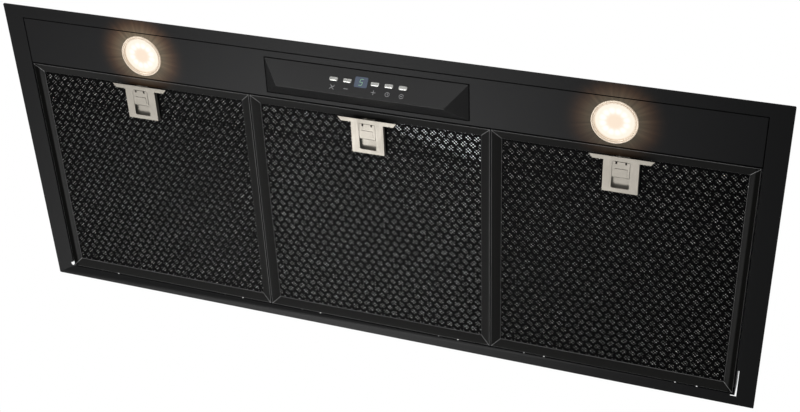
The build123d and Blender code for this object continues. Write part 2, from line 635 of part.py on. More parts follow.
def latch_tongue(x):
    """Sliding tongue: pulled to the rear it draws its bolt out of the strip's rail."""
    face = LATCH_FACE_Z
    half = LATCH_SLOT_W / 2 - TONGUE_FIT
    rear = TONGUE_FRONT + TONGUE_D
    tongue = rounded_slab(2 * half, TONGUE_D, LATCH_SLOT_R - TONGUE_FIT, face, face + LATCH_T,
                          0, TONGUE_FRONT + TONGUE_D / 2)
    for side in (-1, 1):
        notch = side * TONGUE_NOTCH_X
        tongue -= block(notch - TONGUE_NOTCH_W / 2, notch + TONGUE_NOTCH_W / 2,
                        TONGUE_FRONT - CUT, TONGUE_FRONT + TONGUE_NOTCH_D,
                        face - CUT, face + LATCH_T + CUT)
    pad_y = rear - TONGUE_PAD_D / 2 - TONGUE_LIP_R
    tongue += rounded_slab(TONGUE_PAD_W, TONGUE_PAD_D, TONGUE_PAD_R, face - TONGUE_PAD_H, face,
                           0, pad_y)
    lip = across(rear, face + TONGUE_LIP_R) * Pos(0, 0, -half) * Circle(TONGUE_LIP_R)
    tongue += extrude(lip, 2 * half)
    bolt_half = BOLT_W / 2
    neck_half = TONGUE_NOTCH_X - TONGUE_NOTCH_W / 2 - BOLT_NECK_GAP
    bolt_top = BOLT_Z + BOLT_T
    tongue += block(-neck_half, neck_half, TONGUE_FRONT, TONGUE_FRONT + BOLT_NECK_D,
                    face, bolt_top)
    tongue += block(-bolt_half, bolt_half, STRIP_REAR - STRIP_T - BOLT_THROW,
                    TONGUE_FRONT + BOLT_NECK_D, BOLT_Z, bolt_top)
    return Pos(x, 0, 0) * tongue


# ---- housing --------------------------------------------------------------------------------------
def setback(rise):
    """How far back a leaning front wall stands at a height above its knee."""
    return rise * math.tan(math.radians(FRONT_LEAN))


def leaned_box(half_w, front, rear, low, high, knee):
    """Box whose front wall leans back above its knee."""
    side = make_face(Polyline((front, low), (front, knee), (front + setback(high - knee), high),
                              (rear, high), (rear, low), close=True))
    return extrude(across(0, 0) * Pos(0, 0, -half_w) * side, 2 * half_w)


def inner_knee(knee):
    """Knee of the leaning wall's inner face, one sheet inside the outer."""
    return knee - HOUSING_T * math.tan(math.radians(FRONT_LEAN / 2))


def bead(ridge, radius, length):
    """Six-sided rod along +X, centred on a plane of the bead's section."""
    return extrude(ridge * Pos(0, 0, -length / 2) * RegularPolygon(radius, 6), length)


def housing():
    """Sheet box above the opening, open below, with the blower's hole and beads in its deck."""
    shell = leaned_box(OPEN_W / 2, OPEN_FRONT, OPEN_REAR, HOUSING_FOOT, HOUSING_TOP,
                       HOUSING_KNEE_Z)
    shell -= leaned_box(OPEN_W / 2 - HOUSING_T, OPEN_FRONT + HOUSING_T, OPEN_REAR - HOUSING_T,
                        HOUSING_FOOT - CUT, HOUSING_TOP - HOUSING_T, inner_knee(HOUSING_KNEE_Z))
    rim = HOUSING_T + DECK_HOLE_RIM
    shell -= block(-BOX_W / 2 + rim, BOX_W / 2 - rim, BOX_Y - BOX_D / 2 + rim,
                   BOX_Y + BOX_D / 2 - rim, HOUSING_TOP - HOUSING_T - CUT, HOUSING_TOP + CUT)
    deck_front = OPEN_FRONT + setback(HOUSING_TOP - HOUSING_KNEE_Z)
    for side in (-1, 1):
        for y in (-SIDE_HOLE_SPACING / 2, SIDE_HOLE_SPACING / 2):
            start = side * OPEN_W / 2 - HOUSING_T - CUT
            hole = across(y, SIDE_HOLE_Z) * Pos(0, 0, start) * Circle(SIDE_HOLE_R)
            shell -= extrude(hole, 2 * (HOUSING_T + CUT))
        bead_x = side * (OPEN_W / 2 + BOX_W / 2) / 2
        for y in (deck_front + BEAD_INSET, OPEN_REAR - BEAD_INSET):
            ridge = across(y, HOUSING_TOP - HOUSING_T / 2) * Pos(0, 0, bead_x)
            shell += bead(ridge, BEAD_R, BEAD_L)
            shell -= bead(ridge, BEAD_R - HOUSING_T, BEAD_L - 2 * HOUSING_T)
    return shell - block(-OPEN_W / 2 + HOUSING_T, OPEN_W / 2 - HOUSING_T,
                         deck_front + HOUSING_T, OPEN_REAR - HOUSING_T,
                         HOUSING_TOP - HOUSING_T - BEAD_R - CUT, HOUSING_TOP - HOUSING_T)


def divider(x):
    """T-section bar between two filters, from the strip's rail to the rear wall."""
    low = FILTER_FACE_Z + FILTER_T + DIVIDER_GAP
    rear = OPEN_REAR - HOUSING_T
    bar = block(x - DIVIDER_W / 2, x + DIVIDER_W / 2, STRIP_REAR, rear, low, low + DIVIDER_T)
    return bar + block(x - DIVIDER_T / 2, x + DIVIDER_T / 2, STRIP_REAR, rear, low,
                       low + DIVIDER_H)


def blower_box():
    """Sheet cover over the blower, open below, with an out-turned foot and round outlet."""
    top = HOUSING_TOP + BOX_H
    front = BOX_Y - BOX_D / 2
    rear = BOX_Y + BOX_D / 2
    knee = SHAFT_Z - BOX_KNEE_DROP
    cover = rounded_slab(BOX_W, BOX_D, BOX_CORNER_R, HOUSING_TOP, top, 0, BOX_Y)
    cover &= leaned_box(BOX_W / 2, front, rear, HOUSING_TOP, top, knee)
    cover += block(-BOX_W / 2 - BOX_FOOT, BOX_W / 2 + BOX_FOOT, front - BOX_FOOT,
                   rear + BOX_FOOT, HOUSING_TOP, HOUSING_TOP + HOUSING_T)
    space = rounded_slab(BOX_W - 2 * HOUSING_T, BOX_D - 2 * HOUSING_T, BOX_CORNER_R - HOUSING_T,
                         HOUSING_TOP - CUT, top - HOUSING_T, 0, BOX_Y)
    cover -= space & leaned_box(BOX_W / 2 - HOUSING_T, front + HOUSING_T, rear - HOUSING_T,
                                HOUSING_TOP - CUT, top - HOUSING_T, inner_knee(knee))
    return cover - column(0, outlet_y(), top - HOUSING_T - CUT, top + CUT, SPIGOT_R - SPIGOT_T)


# ---- blower -----------------------------------------------------------------------------------
def scroll_radii():
    """Radii of the scroll's three quarter arcs."""
    first = WHEEL_R + SCROLL_GAP + SCROLL_STEP / 2
    return first, first + SCROLL_STEP, first + 2 * SCROLL_STEP


def outlet_y():
    """Centre of the upward outlet, midway between the cut-off and the scroll's rear wall."""
    return SHAFT_Y + scroll_radii()[2] / 2


def scroll_face(grow):
    """Side view of the air space inside the scroll, grown by a sheet's thickness."""
    small, middle, large = (radius + grow for radius in scroll_radii())
    half = SCROLL_STEP / 2
    top = HOUSING_TOP + BOX_H - HOUSING_T - SHAFT_Z
    front = CenterArc((-half, -half), small, 90, 90)
    below = CenterArc((half, -half), middle, 180, 90)
    rear = CenterArc((half, half), large, 270, 90)
    chord = Line((half + large, half), (-half, small - half))
    duct = Pos((large - grow) / 2, (half + top) / 2) * Rectangle(large + 2 * half + grow,
                                                                 top - half)
    return make_face([front, below, rear, chord]) + duct


def scroll_wrap():
    """The scroll's curved wall, from the cut-off round to the outlet."""
    ring = scroll_face(SCROLL_T) - scroll_face(0)
    return extrude(across(SHAFT_Y, SHAFT_Z) * Pos(0, 0, -SCROLL_HALF_W) * ring,
                   2 * SCROLL_HALF_W)


def scroll_side(side):
    """One side plate of the scroll with its rolled inlet ring."""
    start = SCROLL_HALF_W if side > 0 else -SCROLL_HALF_W - SCROLL_T
    plate = scroll_face(SCROLL_T) - Circle(INLET_R)
    cheek = extrude(across(SHAFT_Y, SHAFT_Z) * Pos(0, 0, start) * plate, SCROLL_T)
    lip_x = side * (SCROLL_HALF_W + SCROLL_T / 2 - INLET_LIP_R)
    half_side = INLET_LIP_R * math.cos(math.pi / LIP_SIDES)
    section = Plane.XZ * Pos(INLET_R + half_side, 0) * RegularPolygon(
        INLET_LIP_R, LIP_SIDES, rotation=180 / LIP_SIDES)
    lip = revolve(section, Axis.Z)
    return cheek + across(SHAFT_Y, SHAFT_Z) * Pos(0, 0, lip_x) * lip


def blade_face():
    """Section of one forward-curved blade, square to the shaft, in a few flats."""
    inner = WHEEL_R - WHEEL_BLADE_D
    middle = WHEEL_R - WHEEL_BLADE_D / 2
    tip = WHEEL_R - BLADE_TIP_GAP
    bow = ThreePointArc((inner, 0), (middle, BLADE_BOW), (tip, 0))
    hollow = [bow @ (step / BLADE_FLATS) for step in range(BLADE_FLATS + 1)]
    back = [point + Vector(0, BLADE_T) for point in reversed(hollow)]
    return make_face(Polyline(*hollow, *back, close=True))


def wheel_disc():
    """Centre disc and hub of the double-inlet wheel."""
    disc = Cylinder(WHEEL_R, WHEEL_DISC_T) + Cylinder(HUB_R, HUB_L)
    return across(SHAFT_Y, SHAFT_Z) * (disc - Cylinder(SHAFT_R, 2 * HUB_L))


def wheel_blades():
    """Two rows of forward-curved blades, each from the disc to an end ring."""
    start = WHEEL_DISC_T / 2
    length = WHEEL_HALF_W - WHEEL_RING_T - start
    rows = []
    for end in (start, -start - length):
        blade = Pos(0, 0, end) * extrude(blade_face(), length)
        for step in range(WHEEL_BLADES):
            rows.append(across(SHAFT_Y, SHAFT_Z) * Rot(0, 0, 360 * step / WHEEL_BLADES) * blade)
    return Compound(rows)


def wheel_rings():
    """The two end rings that hold the blades' outer ends."""
    ring = Cylinder(WHEEL_R, WHEEL_RING_T) - Cylinder(WHEEL_R - WHEEL_BLADE_D, WHEEL_RING_T)
    reach = WHEEL_HALF_W - WHEEL_RING_T / 2
    return Compound([across(SHAFT_Y, SHAFT_Z) * Pos(0, 0, x) * ring for x in (-reach, reach)])


def motor_shaft():
    """Steel shaft from the wheel's hub into the motor."""
    length = HUB_L / 2 + MOTOR_END - SHAFT_STOP
    return across(SHAFT_Y, SHAFT_Z) * Pos(0, 0, length / 2 - HUB_L / 2) * Cylinder(SHAFT_R, length)


def motor():
    """Motor can inside the wheel, with end caps and a through bearing bore."""
    length = MOTOR_END - MOTOR_START
    can = Pos(0, 0, MOTOR_START + length / 2) * Cylinder(MOTOR_R, length)
    can = chamfer(can.edges().filter_by(GeomType.CIRCLE).sort_by(Axis.Z)[0], MOTOR_ROUND)
    can += Pos(0, 0, MOTOR_END + MOTOR_CAP_L / 2) * Cylinder(MOTOR_CAP_R, MOTOR_CAP_L)
    can -= Pos(0, 0, length) * Cylinder(SHAFT_R + SHAFT_FIT, 3 * length)
    return across(SHAFT_Y, SHAFT_Z) * can


def spider_turns():
    """Directions of the bracket's arms round the shaft; the first points straight up."""
    return [Rot(0, 0, 90 + 360 * step / SPIDER_ARMS) for step in range(SPIDER_ARMS)]


def motor_spider():
    """Three-armed bracket that carries the motor from the right side plate."""
    plate = Circle(SPIDER_RING_R) - Circle(MOTOR_CAP_R + SPIDER_CAP_GAP)
    arm = SlotOverall(SPIDER_ARM_L + SPIDER_ARM_W, SPIDER_ARM_W)
    for turn in spider_turns():
        plate += turn * Pos(SPIDER_REACH - SPIDER_ARM_L / 2, 0) * arm
        plate -= turn * Pos(SPIDER_REACH, 0) * Circle(BUSH_HOLE_R)
    return across(SHAFT_Y, SHAFT_Z) * Pos(0, 0, MOTOR_END) * extrude(plate, SPIDER_T)


def rubber_bushes():
    """Three rubber bushes between the bracket and the side plate."""
    start = SCROLL_HALF_W + SCROLL_T
    cheek = across(SHAFT_Y, SHAFT_Z) * Pos(0, 0, start)
    ring = Circle(BUSH_R) - Circle(BUSH_HOLE_R)
    places = [cheek * turn * Pos(SPIDER_REACH, 0) for turn in spider_turns()]
    return Compound([extrude(place * ring, MOTOR_END - start) for place in places])


# ---- outlet ------------------------------------------------------------------------------------
def spigot_floor():
    """Top of the blower box, where the outlet collar stands."""
    return HOUSING_TOP + BOX_H


def flap_axis_z():
    """Height of the flaps' hinge pin."""
    seat_top = spigot_floor() + SPIGOT_BASE_T + FLAP_SEAT_H
    return seat_top + FLAP_GAP + KNUCKLE_R


def duct_collar():
    """Moulded collar with a square foot, a seat for the flaps and a groove under its mouth."""
    floor = spigot_floor()
    y = outlet_y()
    top = floor + SPIGOT_BASE_T + SPIGOT_H
    collar = rounded_slab(SPIGOT_BASE, SPIGOT_BASE, SPIGOT_BASE_R, floor, floor + SPIGOT_BASE_T,
                          0, y)
    collar += column(0, y, floor, top, SPIGOT_R)
    groove_top = top - SPIGOT_GROOVE_DROP
    groove = column(0, y, groove_top - SPIGOT_GROOVE_H, groove_top, SPIGOT_R + CUT)
    collar -= groove - column(0, y, floor, top, SPIGOT_R - SPIGOT_GROOVE)
    inner = SPIGOT_R - SPIGOT_T
    collar -= column(0, y, floor - CUT, top + CUT, inner)
    seat_top = floor + SPIGOT_BASE_T + FLAP_SEAT_H
    seat = column(0, y, seat_top - FLAP_SEAT_T, seat_top, inner + SPIGOT_T / 2)
    seat -= column(0, y, seat_top - FLAP_SEAT_T - CUT, seat_top + CUT, inner - FLAP_SEAT_W)
    collar += seat
    reach = SPIGOT_R + CUT
    bore = across(y, flap_axis_z()) * Pos(0, 0, -reach) * Circle(FLAP_PIN_R + FLAP_PIN_FIT)
    return collar - extrude(bore, 2 * reach)


def flap_pin():
    """Hinge pin across the collar."""
    reach = SPIGOT_R
    pin = across(outlet_y(), flap_axis_z()) * Pos(0, 0, -reach) * Circle(FLAP_PIN_R)
    return extrude(pin, 2 * reach)


def flap(side):
    """Half-round backdraught flap with two knuckles round the pin."""
    y = outlet_y()
    low = spigot_floor() + SPIGOT_BASE_T + FLAP_SEAT_H + FLAP_GAP
    radius = SPIGOT_R - SPIGOT_T - FLAP_EDGE_GAP
    disc = column(0, y, low, low + FLAP_T, radius)
    near = y + side * (KNUCKLE_R + FLAP_GAP)
    far = y - side * 2 * radius
    disc -= block(-2 * radius, 2 * radius, min(near, far), max(near, far),
                  low - CUT, low + FLAP_T + CUT)
    offset = KNUCKLE_L / 2 + FLAP_GAP if side < 0 else -KNUCKLE_L / 2 - FLAP_GAP
    for place in (-KNUCKLE_PITCH + offset, KNUCKLE_PITCH + offset):
        start = place - KNUCKLE_L / 2
        barrel = across(y, flap_axis_z()) * Pos(0, 0, start) * Circle(KNUCKLE_R)
        disc += extrude(barrel, KNUCKLE_L)
        reach = near + side * KNUCKLE_LAP
        disc += block(start, start + KNUCKLE_L, min(y, reach), max(y, reach), low, low + FLAP_T)
        bore = Pos(0, 0, start - CUT) * Circle(FLAP_PIN_R + FLAP_PIN_FIT)
        disc -= extrude(across(y, flap_axis_z()) * bore, KNUCKLE_L + 2 * CUT)
    return disc


# ---- electrics and fixings -----------------------------------------------------------------------
def electronics_case():
    """Open tray for the main control board, on the deck left of the blower."""
    case = rounded_slab(CASE_W, CASE_D, CASE_R, HOUSING_TOP, HOUSING_TOP + CASE_H,
                        CASE_X, CASE_Y)
    case -= rounded_slab(CASE_W - 2 * CASE_WALL, CASE_D - 2 * CASE_WALL, CASE_R - CASE_WALL,
                         HOUSING_TOP + CASE_WALL, HOUSING_TOP + CASE_H + CUT, CASE_X, CASE_Y)
    hole = gland_plane() * Pos(0, 0, -CUT) * Circle(GLAND_BODY_R)
    return case - extrude(hole, CASE_WALL + 2 * CUT)


def electronics_lid():
    """Lid of the electronics case with a rim over its edge."""
    low = HOUSING_TOP + CASE_H
    lid = rounded_slab(CASE_W, CASE_D, CASE_R, low, low + CASE_LID_T, CASE_X, CASE_Y)
    shrink = 2 * (CASE_WALL + CASE_FIT)
    plug = rounded_slab(CASE_W - shrink, CASE_D - shrink, CASE_R - CASE_WALL,
                        low - CASE_PLUG_H, low, CASE_X, CASE_Y)
    return lid + plug


def gland_plane():
    """Inner face of the case's rear wall at the mains inlet, facing +Y."""
    origin = (CASE_X, CASE_Y + CASE_D / 2 - CASE_WALL, HOUSING_TOP + CASE_H / 2)
    return Plane(origin=origin, x_dir=(1, 0, 0), z_dir=(0, 1, 0))


def cable_gland():
    """Mains inlet in the rear wall of the electronics case."""
    gland = extrude(gland_plane() * Circle(GLAND_BODY_R), GLAND_L)
    nut = Pos(0, 0, CASE_WALL) * RegularPolygon(GLAND_NUT_R, 6)
    gland += extrude(gland_plane() * nut, GLAND_NUT_H)
    bore = Pos(0, 0, -CUT) * Circle(GLAND_R)
    return gland - extrude(gland_plane() * bore, GLAND_L + 2 * CUT)


def lamp_driver():
    """Potted supply for the two lamps, on the deck right of the blower."""
    body = rounded_slab(DRIVER_W, DRIVER_D, DRIVER_R, HOUSING_TOP, HOUSING_TOP + DRIVER_H,
                        DRIVER_X, DRIVER_Y)
    top = body.faces().sort_by(Axis.Z)[-1]
    return chamfer(top.edges(), DRIVER_CHAMFER)


def run_capacitor():
    """Motor capacitor lying on the deck."""
    place = Pos(CAPACITOR_X, CAPACITOR_Y, HOUSING_TOP + CAPACITOR_R) * Rot(90, 0, 0)
    can = place * Cylinder(CAPACITOR_R, CAPACITOR_L)
    ends = can.edges().filter_by(GeomType.CIRCLE)
    return chamfer(ends, CAPACITOR_ROUND)


def cabinet_clips():
    """Four spring clips on the side walls that grip the cabinet's cut-out."""
    group = []
    knee = CLIP_TOP - CLIP_PLATE_H
    for side in (-1, 1):
        wall = side * OPEN_W / 2
        flare = wall + side * CLIP_FLARE
        seat = wall + side * CLIP_T
        leaf = make_face(Polyline(
            (wall, CLIP_TOP), (seat, CLIP_TOP), (seat, knee), (flare + side * CLIP_T, CLIP_BEND_Z),
            (seat + side * CLIP_T, CLIP_BOTTOM), (seat, CLIP_BOTTOM), (flare, CLIP_BEND_Z),
            (wall, knee), close=True))
        for y in (-CLIP_SPACING / 2, CLIP_SPACING / 2):
            plane = Plane(origin=(0, y + CLIP_W / 2, 0), x_dir=(1, 0, 0), z_dir=(0, -1, 0))
            group.append(extrude(plane * leaf, CLIP_W))
    return Compound(group)


def spaced(span, count):
    """Even places over a span centred on zero, with one at each end."""
    return [span * (step / (count - 1) - 0.5) for step in range(count)]


def screw_down(x, y, z):
    """A hexagon-headed sheet screw's head on a face at height z."""
    return Pos(x, y, z) * extrude(RegularPolygon(SCREW_HEAD_R, 6), SCREW_HEAD_H)


def blower_screws():
    """Screw heads on the blower box's foot and on the outlet collar's foot."""
    deck = HOUSING_TOP + HOUSING_T
    reach_x = BOX_W / 2 + BOX_FOOT / 2
    reach_y = BOX_D / 2 + BOX_FOOT / 2
    group = []
    for x in (-reach_x, reach_x):
        for y in spaced(BOX_D - 2 * SCREW_INSET, SIDE_SCREWS):
            group.append(screw_down(x, BOX_Y + y, deck))
    for y in (-reach_y, reach_y):
        for x in spaced(BOX_W - 2 * SCREW_INSET, END_SCREWS):
            group.append(screw_down(x, BOX_Y + y, deck))
    reach = SPIGOT_BASE / 2 - COLLAR_SCREW_INSET
    for x in (-reach, reach):
        for y in (-reach, reach):
            group.append(screw_down(x, outlet_y() + y, spigot_floor() + SPIGOT_BASE_T))
    return Compound(group)


# ---- the pieces ------------------------------------------------------------------------------------
def all_parts():
    """Every piece of the insert by its name."""
    parts = {"face_frame": face_frame(), "control_strip": control_strip(),
             "housing": housing(), "blower_box": blower_box()}
    for name, x in zip(("divider_left", "divider_right"),
                       (-FILTER_PITCH / 2, FILTER_PITCH / 2)):
        parts[name] = divider(x)
    for number, x in enumerate(FILTER_XS, start=1):
        parts[f"filter_{number}_frame"] = filter_frame(x)
        parts[f"filter_{number}_mesh"] = filter_mesh(x)
        parts[f"filter_{number}_back"] = filter_back(x)
        parts[f"filter_{number}_latch_plate"] = latch_plate(x)
        parts[f"filter_{number}_latch_tongue"] = latch_tongue(x)
    parts["control_pod"] = control_pod()
    for number, slot in enumerate(BUTTON_SLOTS, start=1):
        parts[f"button_{number}"] = button(slot)
    parts["display_window"] = display_window()
    parts["digit_module"] = digit_module()
    parts["control_board"] = control_board()
    parts["key_switches"] = key_switches()
    for name, x in (("left", -LAMP_X), ("right", LAMP_X)):
        parts[f"lamp_{name}_rim"] = lamp_rim(x)
        parts[f"lamp_{name}_lens"] = lamp_lens(x)
        parts[f"lamp_{name}_board"] = lamp_board(x)
        parts[f"lamp_{name}_heat_sink"] = lamp_heat_sink(x)
    parts["scroll_wrap"] = scroll_wrap()
    parts["scroll_side_left"] = scroll_side(-1)
    parts["scroll_side_right"] = scroll_side(1)
    parts["wheel_disc"] = wheel_disc()
    parts["wheel_blades"] = wheel_blades()
    parts["wheel_rings"] = wheel_rings()
    parts["motor_shaft"] = motor_shaft()
    parts["motor"] = motor()
    parts["motor_spider"] = motor_spider()
    parts["rubber_bushes"] = rubber_bushes()
    parts["duct_collar"] = duct_collar()
    parts["flap_pin"] = flap_pin()
    parts["flap_front"] = flap(-1)
    parts["flap_rear"] = flap(1)
    parts["electronics_case"] = electronics_case()
    parts["electronics_lid"] = electronics_lid()
    parts["cable_gland"] = cable_gland()
    parts["lamp_driver"] = lamp_driver()
    parts["run_capacitor"] = run_capacitor()
    parts["cabinet_clips"] = cabinet_clips()
    parts["blower_screws"] = blower_screws()
    return parts


os.makedirs("parts", exist_ok=True)
for part_name, shape in all_parts().items():
    export_step(shape, f"parts/{part_name}.step")
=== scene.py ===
import json
import logging
import math
from collections.abc import Sequence
from dataclasses import dataclass
from enum import Enum

import bmesh
import bpy
from mathutils import Euler, Matrix, Vector


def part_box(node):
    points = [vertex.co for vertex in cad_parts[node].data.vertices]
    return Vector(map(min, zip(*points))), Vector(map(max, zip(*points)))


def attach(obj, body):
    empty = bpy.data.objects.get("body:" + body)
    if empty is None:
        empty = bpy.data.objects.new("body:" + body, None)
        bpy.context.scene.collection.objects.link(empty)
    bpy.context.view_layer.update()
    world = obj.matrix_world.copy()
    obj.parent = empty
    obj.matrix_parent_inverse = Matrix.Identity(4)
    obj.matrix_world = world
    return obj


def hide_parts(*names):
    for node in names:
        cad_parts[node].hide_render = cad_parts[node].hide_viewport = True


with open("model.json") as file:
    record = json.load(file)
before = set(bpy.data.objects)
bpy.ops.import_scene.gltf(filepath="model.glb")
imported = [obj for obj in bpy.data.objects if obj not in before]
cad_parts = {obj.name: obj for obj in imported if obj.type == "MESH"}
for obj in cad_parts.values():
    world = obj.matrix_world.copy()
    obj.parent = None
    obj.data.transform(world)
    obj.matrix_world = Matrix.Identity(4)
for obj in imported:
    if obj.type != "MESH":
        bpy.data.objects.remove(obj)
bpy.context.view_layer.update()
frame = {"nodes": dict(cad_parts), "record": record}        # bodies, nodes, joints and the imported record

# Dresses the range hood insert: finishes for every surface, the knitted layers of the grease
# filters, the lamps, the marks on the pod, and the studio round it. Lengths are in metres.

MM = 0.001
HAIR = 0.001 * MM        # a corner nearer than this to a line is on it
FILTERS = (1, 2, 3)
log = logging.getLogger("hood_insert")

Triple = tuple[float, float, float]
Colour = Triple
Point = tuple[float, float]
Socket = bpy.types.NodeSocket
Shape = bmesh.types.BMesh
Corners = Sequence[bmesh.types.BMVert]
WHITE: Colour = (1.0, 1.0, 1.0)


# ---- node trees ------------------------------------------------------------------------------
class Graph:
    """A node tree under construction."""

    def __init__(self, tree: bpy.types.NodeTree) -> None:
        """Keep the tree that nodes are added to."""
        self.tree = tree

    def plug(self, socket: Socket, value: object) -> None:
        """Feed a socket.

        Args:
            socket: the input.
            value: another socket to link from, or a number, vector or colour to set.
        """
        if isinstance(value, bpy.types.NodeSocket):
            self.tree.links.new(value, socket)
        elif socket.type == "RGBA":
            socket.default_value = (*value, 1.0)
        else:
            socket.default_value = value

    def add(self, kind: str, inputs: dict | None = None, **settings: object) -> bpy.types.Node:
        """Add one node.

        Args:
            kind: the node's type name.
            inputs: values, or sockets to link from, by input name or number.
            settings: properties to set on the node first.

        Returns:
            The new node.
        """
        node = self.tree.nodes.new(kind)
        for name, value in settings.items():
            setattr(node, name, value)
        for key, value in (inputs or {}).items():
            self.plug(node.inputs[key], value)
        return node

    def first(self, kind: str, inputs: dict | None = None, **settings: object) -> Socket:
        """Add one node and give its first output."""
        return self.add(kind, inputs, **settings).outputs[0]

    def math(self, operation: str, *values: float | Socket) -> Socket:
        """Work out one sum, product or function of numbers."""
        return self.first("ShaderNodeMath", dict(enumerate(values)), operation=operation)

    def times(self, value: float | Socket, *factors: float | Socket) -> Socket:
        """Multiply a number by one or more others.

        Args:
            value: the number.
            factors: what it is multiplied by, in turn.

        Returns:
            The product.
        """
        for factor in factors:
            value = self.math("MULTIPLY", value, factor)
        return value

    def vector(self, operation: str, *values: Sequence[float] | Socket) -> bpy.types.Node:
        """Work out one vector operation and give its node."""
        return self.add("ShaderNodeVectorMath", dict(enumerate(values)), operation=operation)

    def arrow(self, x: float | Socket = 0.0, y: float | Socket = 0.0,
              z: float | Socket = 0.0) -> Socket:
        """A vector of three numbers."""
        return self.first("ShaderNodeCombineXYZ", {0: x, 1: y, 2: z})

    def split(self, place: Socket) -> Sequence[Socket]:
        """The three numbers of a vector."""
        return self.add("ShaderNodeSeparateXYZ", {0: place}).outputs


class ShaderGraph(Graph):
    """A material's node tree with its Principled shader."""

    def __init__(self, material: bpy.types.Material) -> None:
        """Start from the material's own shader and output.

        Args:
            material: the material, with its nodes in use.
        """
        super().__init__(material.node_tree)
        self.shader = self.tree.nodes["Principled BSDF"]
        self.place = self.add("ShaderNodeTexCoord").outputs["Object"]

    def feed(self, name: str, value: Socket | float | Colour) -> None:
        """Give a socket of the shader a value, one for all or one that varies."""
        self.plug(self.shader.inputs[name], value)

    def noise(self, scale: float, detail: float = 3.0,
              stretch: Triple = (1.0, 1.0, 1.0)) -> Socket:
        """Soft noise over the object.

        Args:
            scale: features for each metre.
            detail: how many finer octaves it has.
            stretch: factors on the three directions, below 1 for long features.

        Returns:
            The noise's value, from 0 to 1.
        """
        place = self.vector("MULTIPLY", self.place, stretch).outputs[0]
        return self.first("ShaderNodeTexNoise", {"Vector": place, "Scale": scale,
                                                 "Detail": detail})

    def cells(self, size: float) -> Sequence[Socket]:
        """Irregular cells of a size.

        Args:
            size: their width.

        Returns:
            Three numbers from 0 to 1 that differ from cell to cell.
        """
        cells = self.add("ShaderNodeTexVoronoi", {"Vector": self.place, "Scale": 1 / size})
        return self.add("ShaderNodeSeparateColor", {0: cells.outputs["Color"]}).outputs

    def span(self, value: Socket, start: float, end: float, low: float, high: float,
             soft: bool = False) -> Socket:
        """Carry a value from one range to another, clamped, on a soft curve if asked."""
        return self.first("ShaderNodeMapRange", {0: value, 1: start, 2: end, 3: low, 4: high},
                          interpolation_type="SMOOTHSTEP" if soft else "LINEAR")

    def blend(self, share: Socket, start: Colour | Socket, end: Colour | Socket) -> Socket:
        """Mix two colours by a share of the second."""
        return self.add("ShaderNodeMix", {0: share, 6: start, 7: end},
                        data_type="RGBA").outputs[2]

    def tone(self, share: Socket, colour: Colour, low: float, high: float) -> Socket:
        """A colour that grows darker and lighter.

        Args:
            share: where it is light, from 0 to 1.
            colour: the colour.
            low: the factor on it where it is darkest.
            high: the factor where it is lightest.

        Returns:
            The colour at each place.
        """
        dark = tuple(channel * low for channel in colour)
        light = tuple(min(1.0, channel * high) for channel in colour)
        return self.blend(share, dark, light)

    def coat(self, share: Socket, colour: Colour, low: float, high: float) -> None:
        """Paint the surface in darker and lighter tones of a colour."""
        self.feed("Base Color", self.tone(share, colour, low, high))

    def gloss(self, share: Socket, roughness: float, swing: float) -> None:
        """Let the roughness swing to both sides with a noise."""
        self.feed("Roughness", self.span(share, 0.3, 0.7, roughness - swing,
                                         roughness + swing))

    def bump(self, height: Socket, strength: float, depth: float) -> None:
        """Raise and sink the surface's shading by a height."""
        self.feed("Normal", self.first("ShaderNodeBump", {
            "Height": height, "Strength": strength, "Distance": depth}))

    def around(self, centre: Vector) -> tuple[Socket, ...]:
        """Each place as seen from the lamp on its own side of the insert.

        Args:
            centre: the right lamp's centre; the left one is its mirror image.

        Returns:
            The side, -1 or 1, the offsets to the right and to the rear, and their vector
            with its length.
        """
        x, y, _ = self.split(self.place)
        side = self.math("SIGN", x)
        east = self.math("SUBTRACT", x, self.times(side, centre.x))
        north = self.math("SUBTRACT", y, centre.y)
        arm = self.arrow(east, north)
        return side, east, north, arm, self.vector("LENGTH", arm).outputs["Value"]


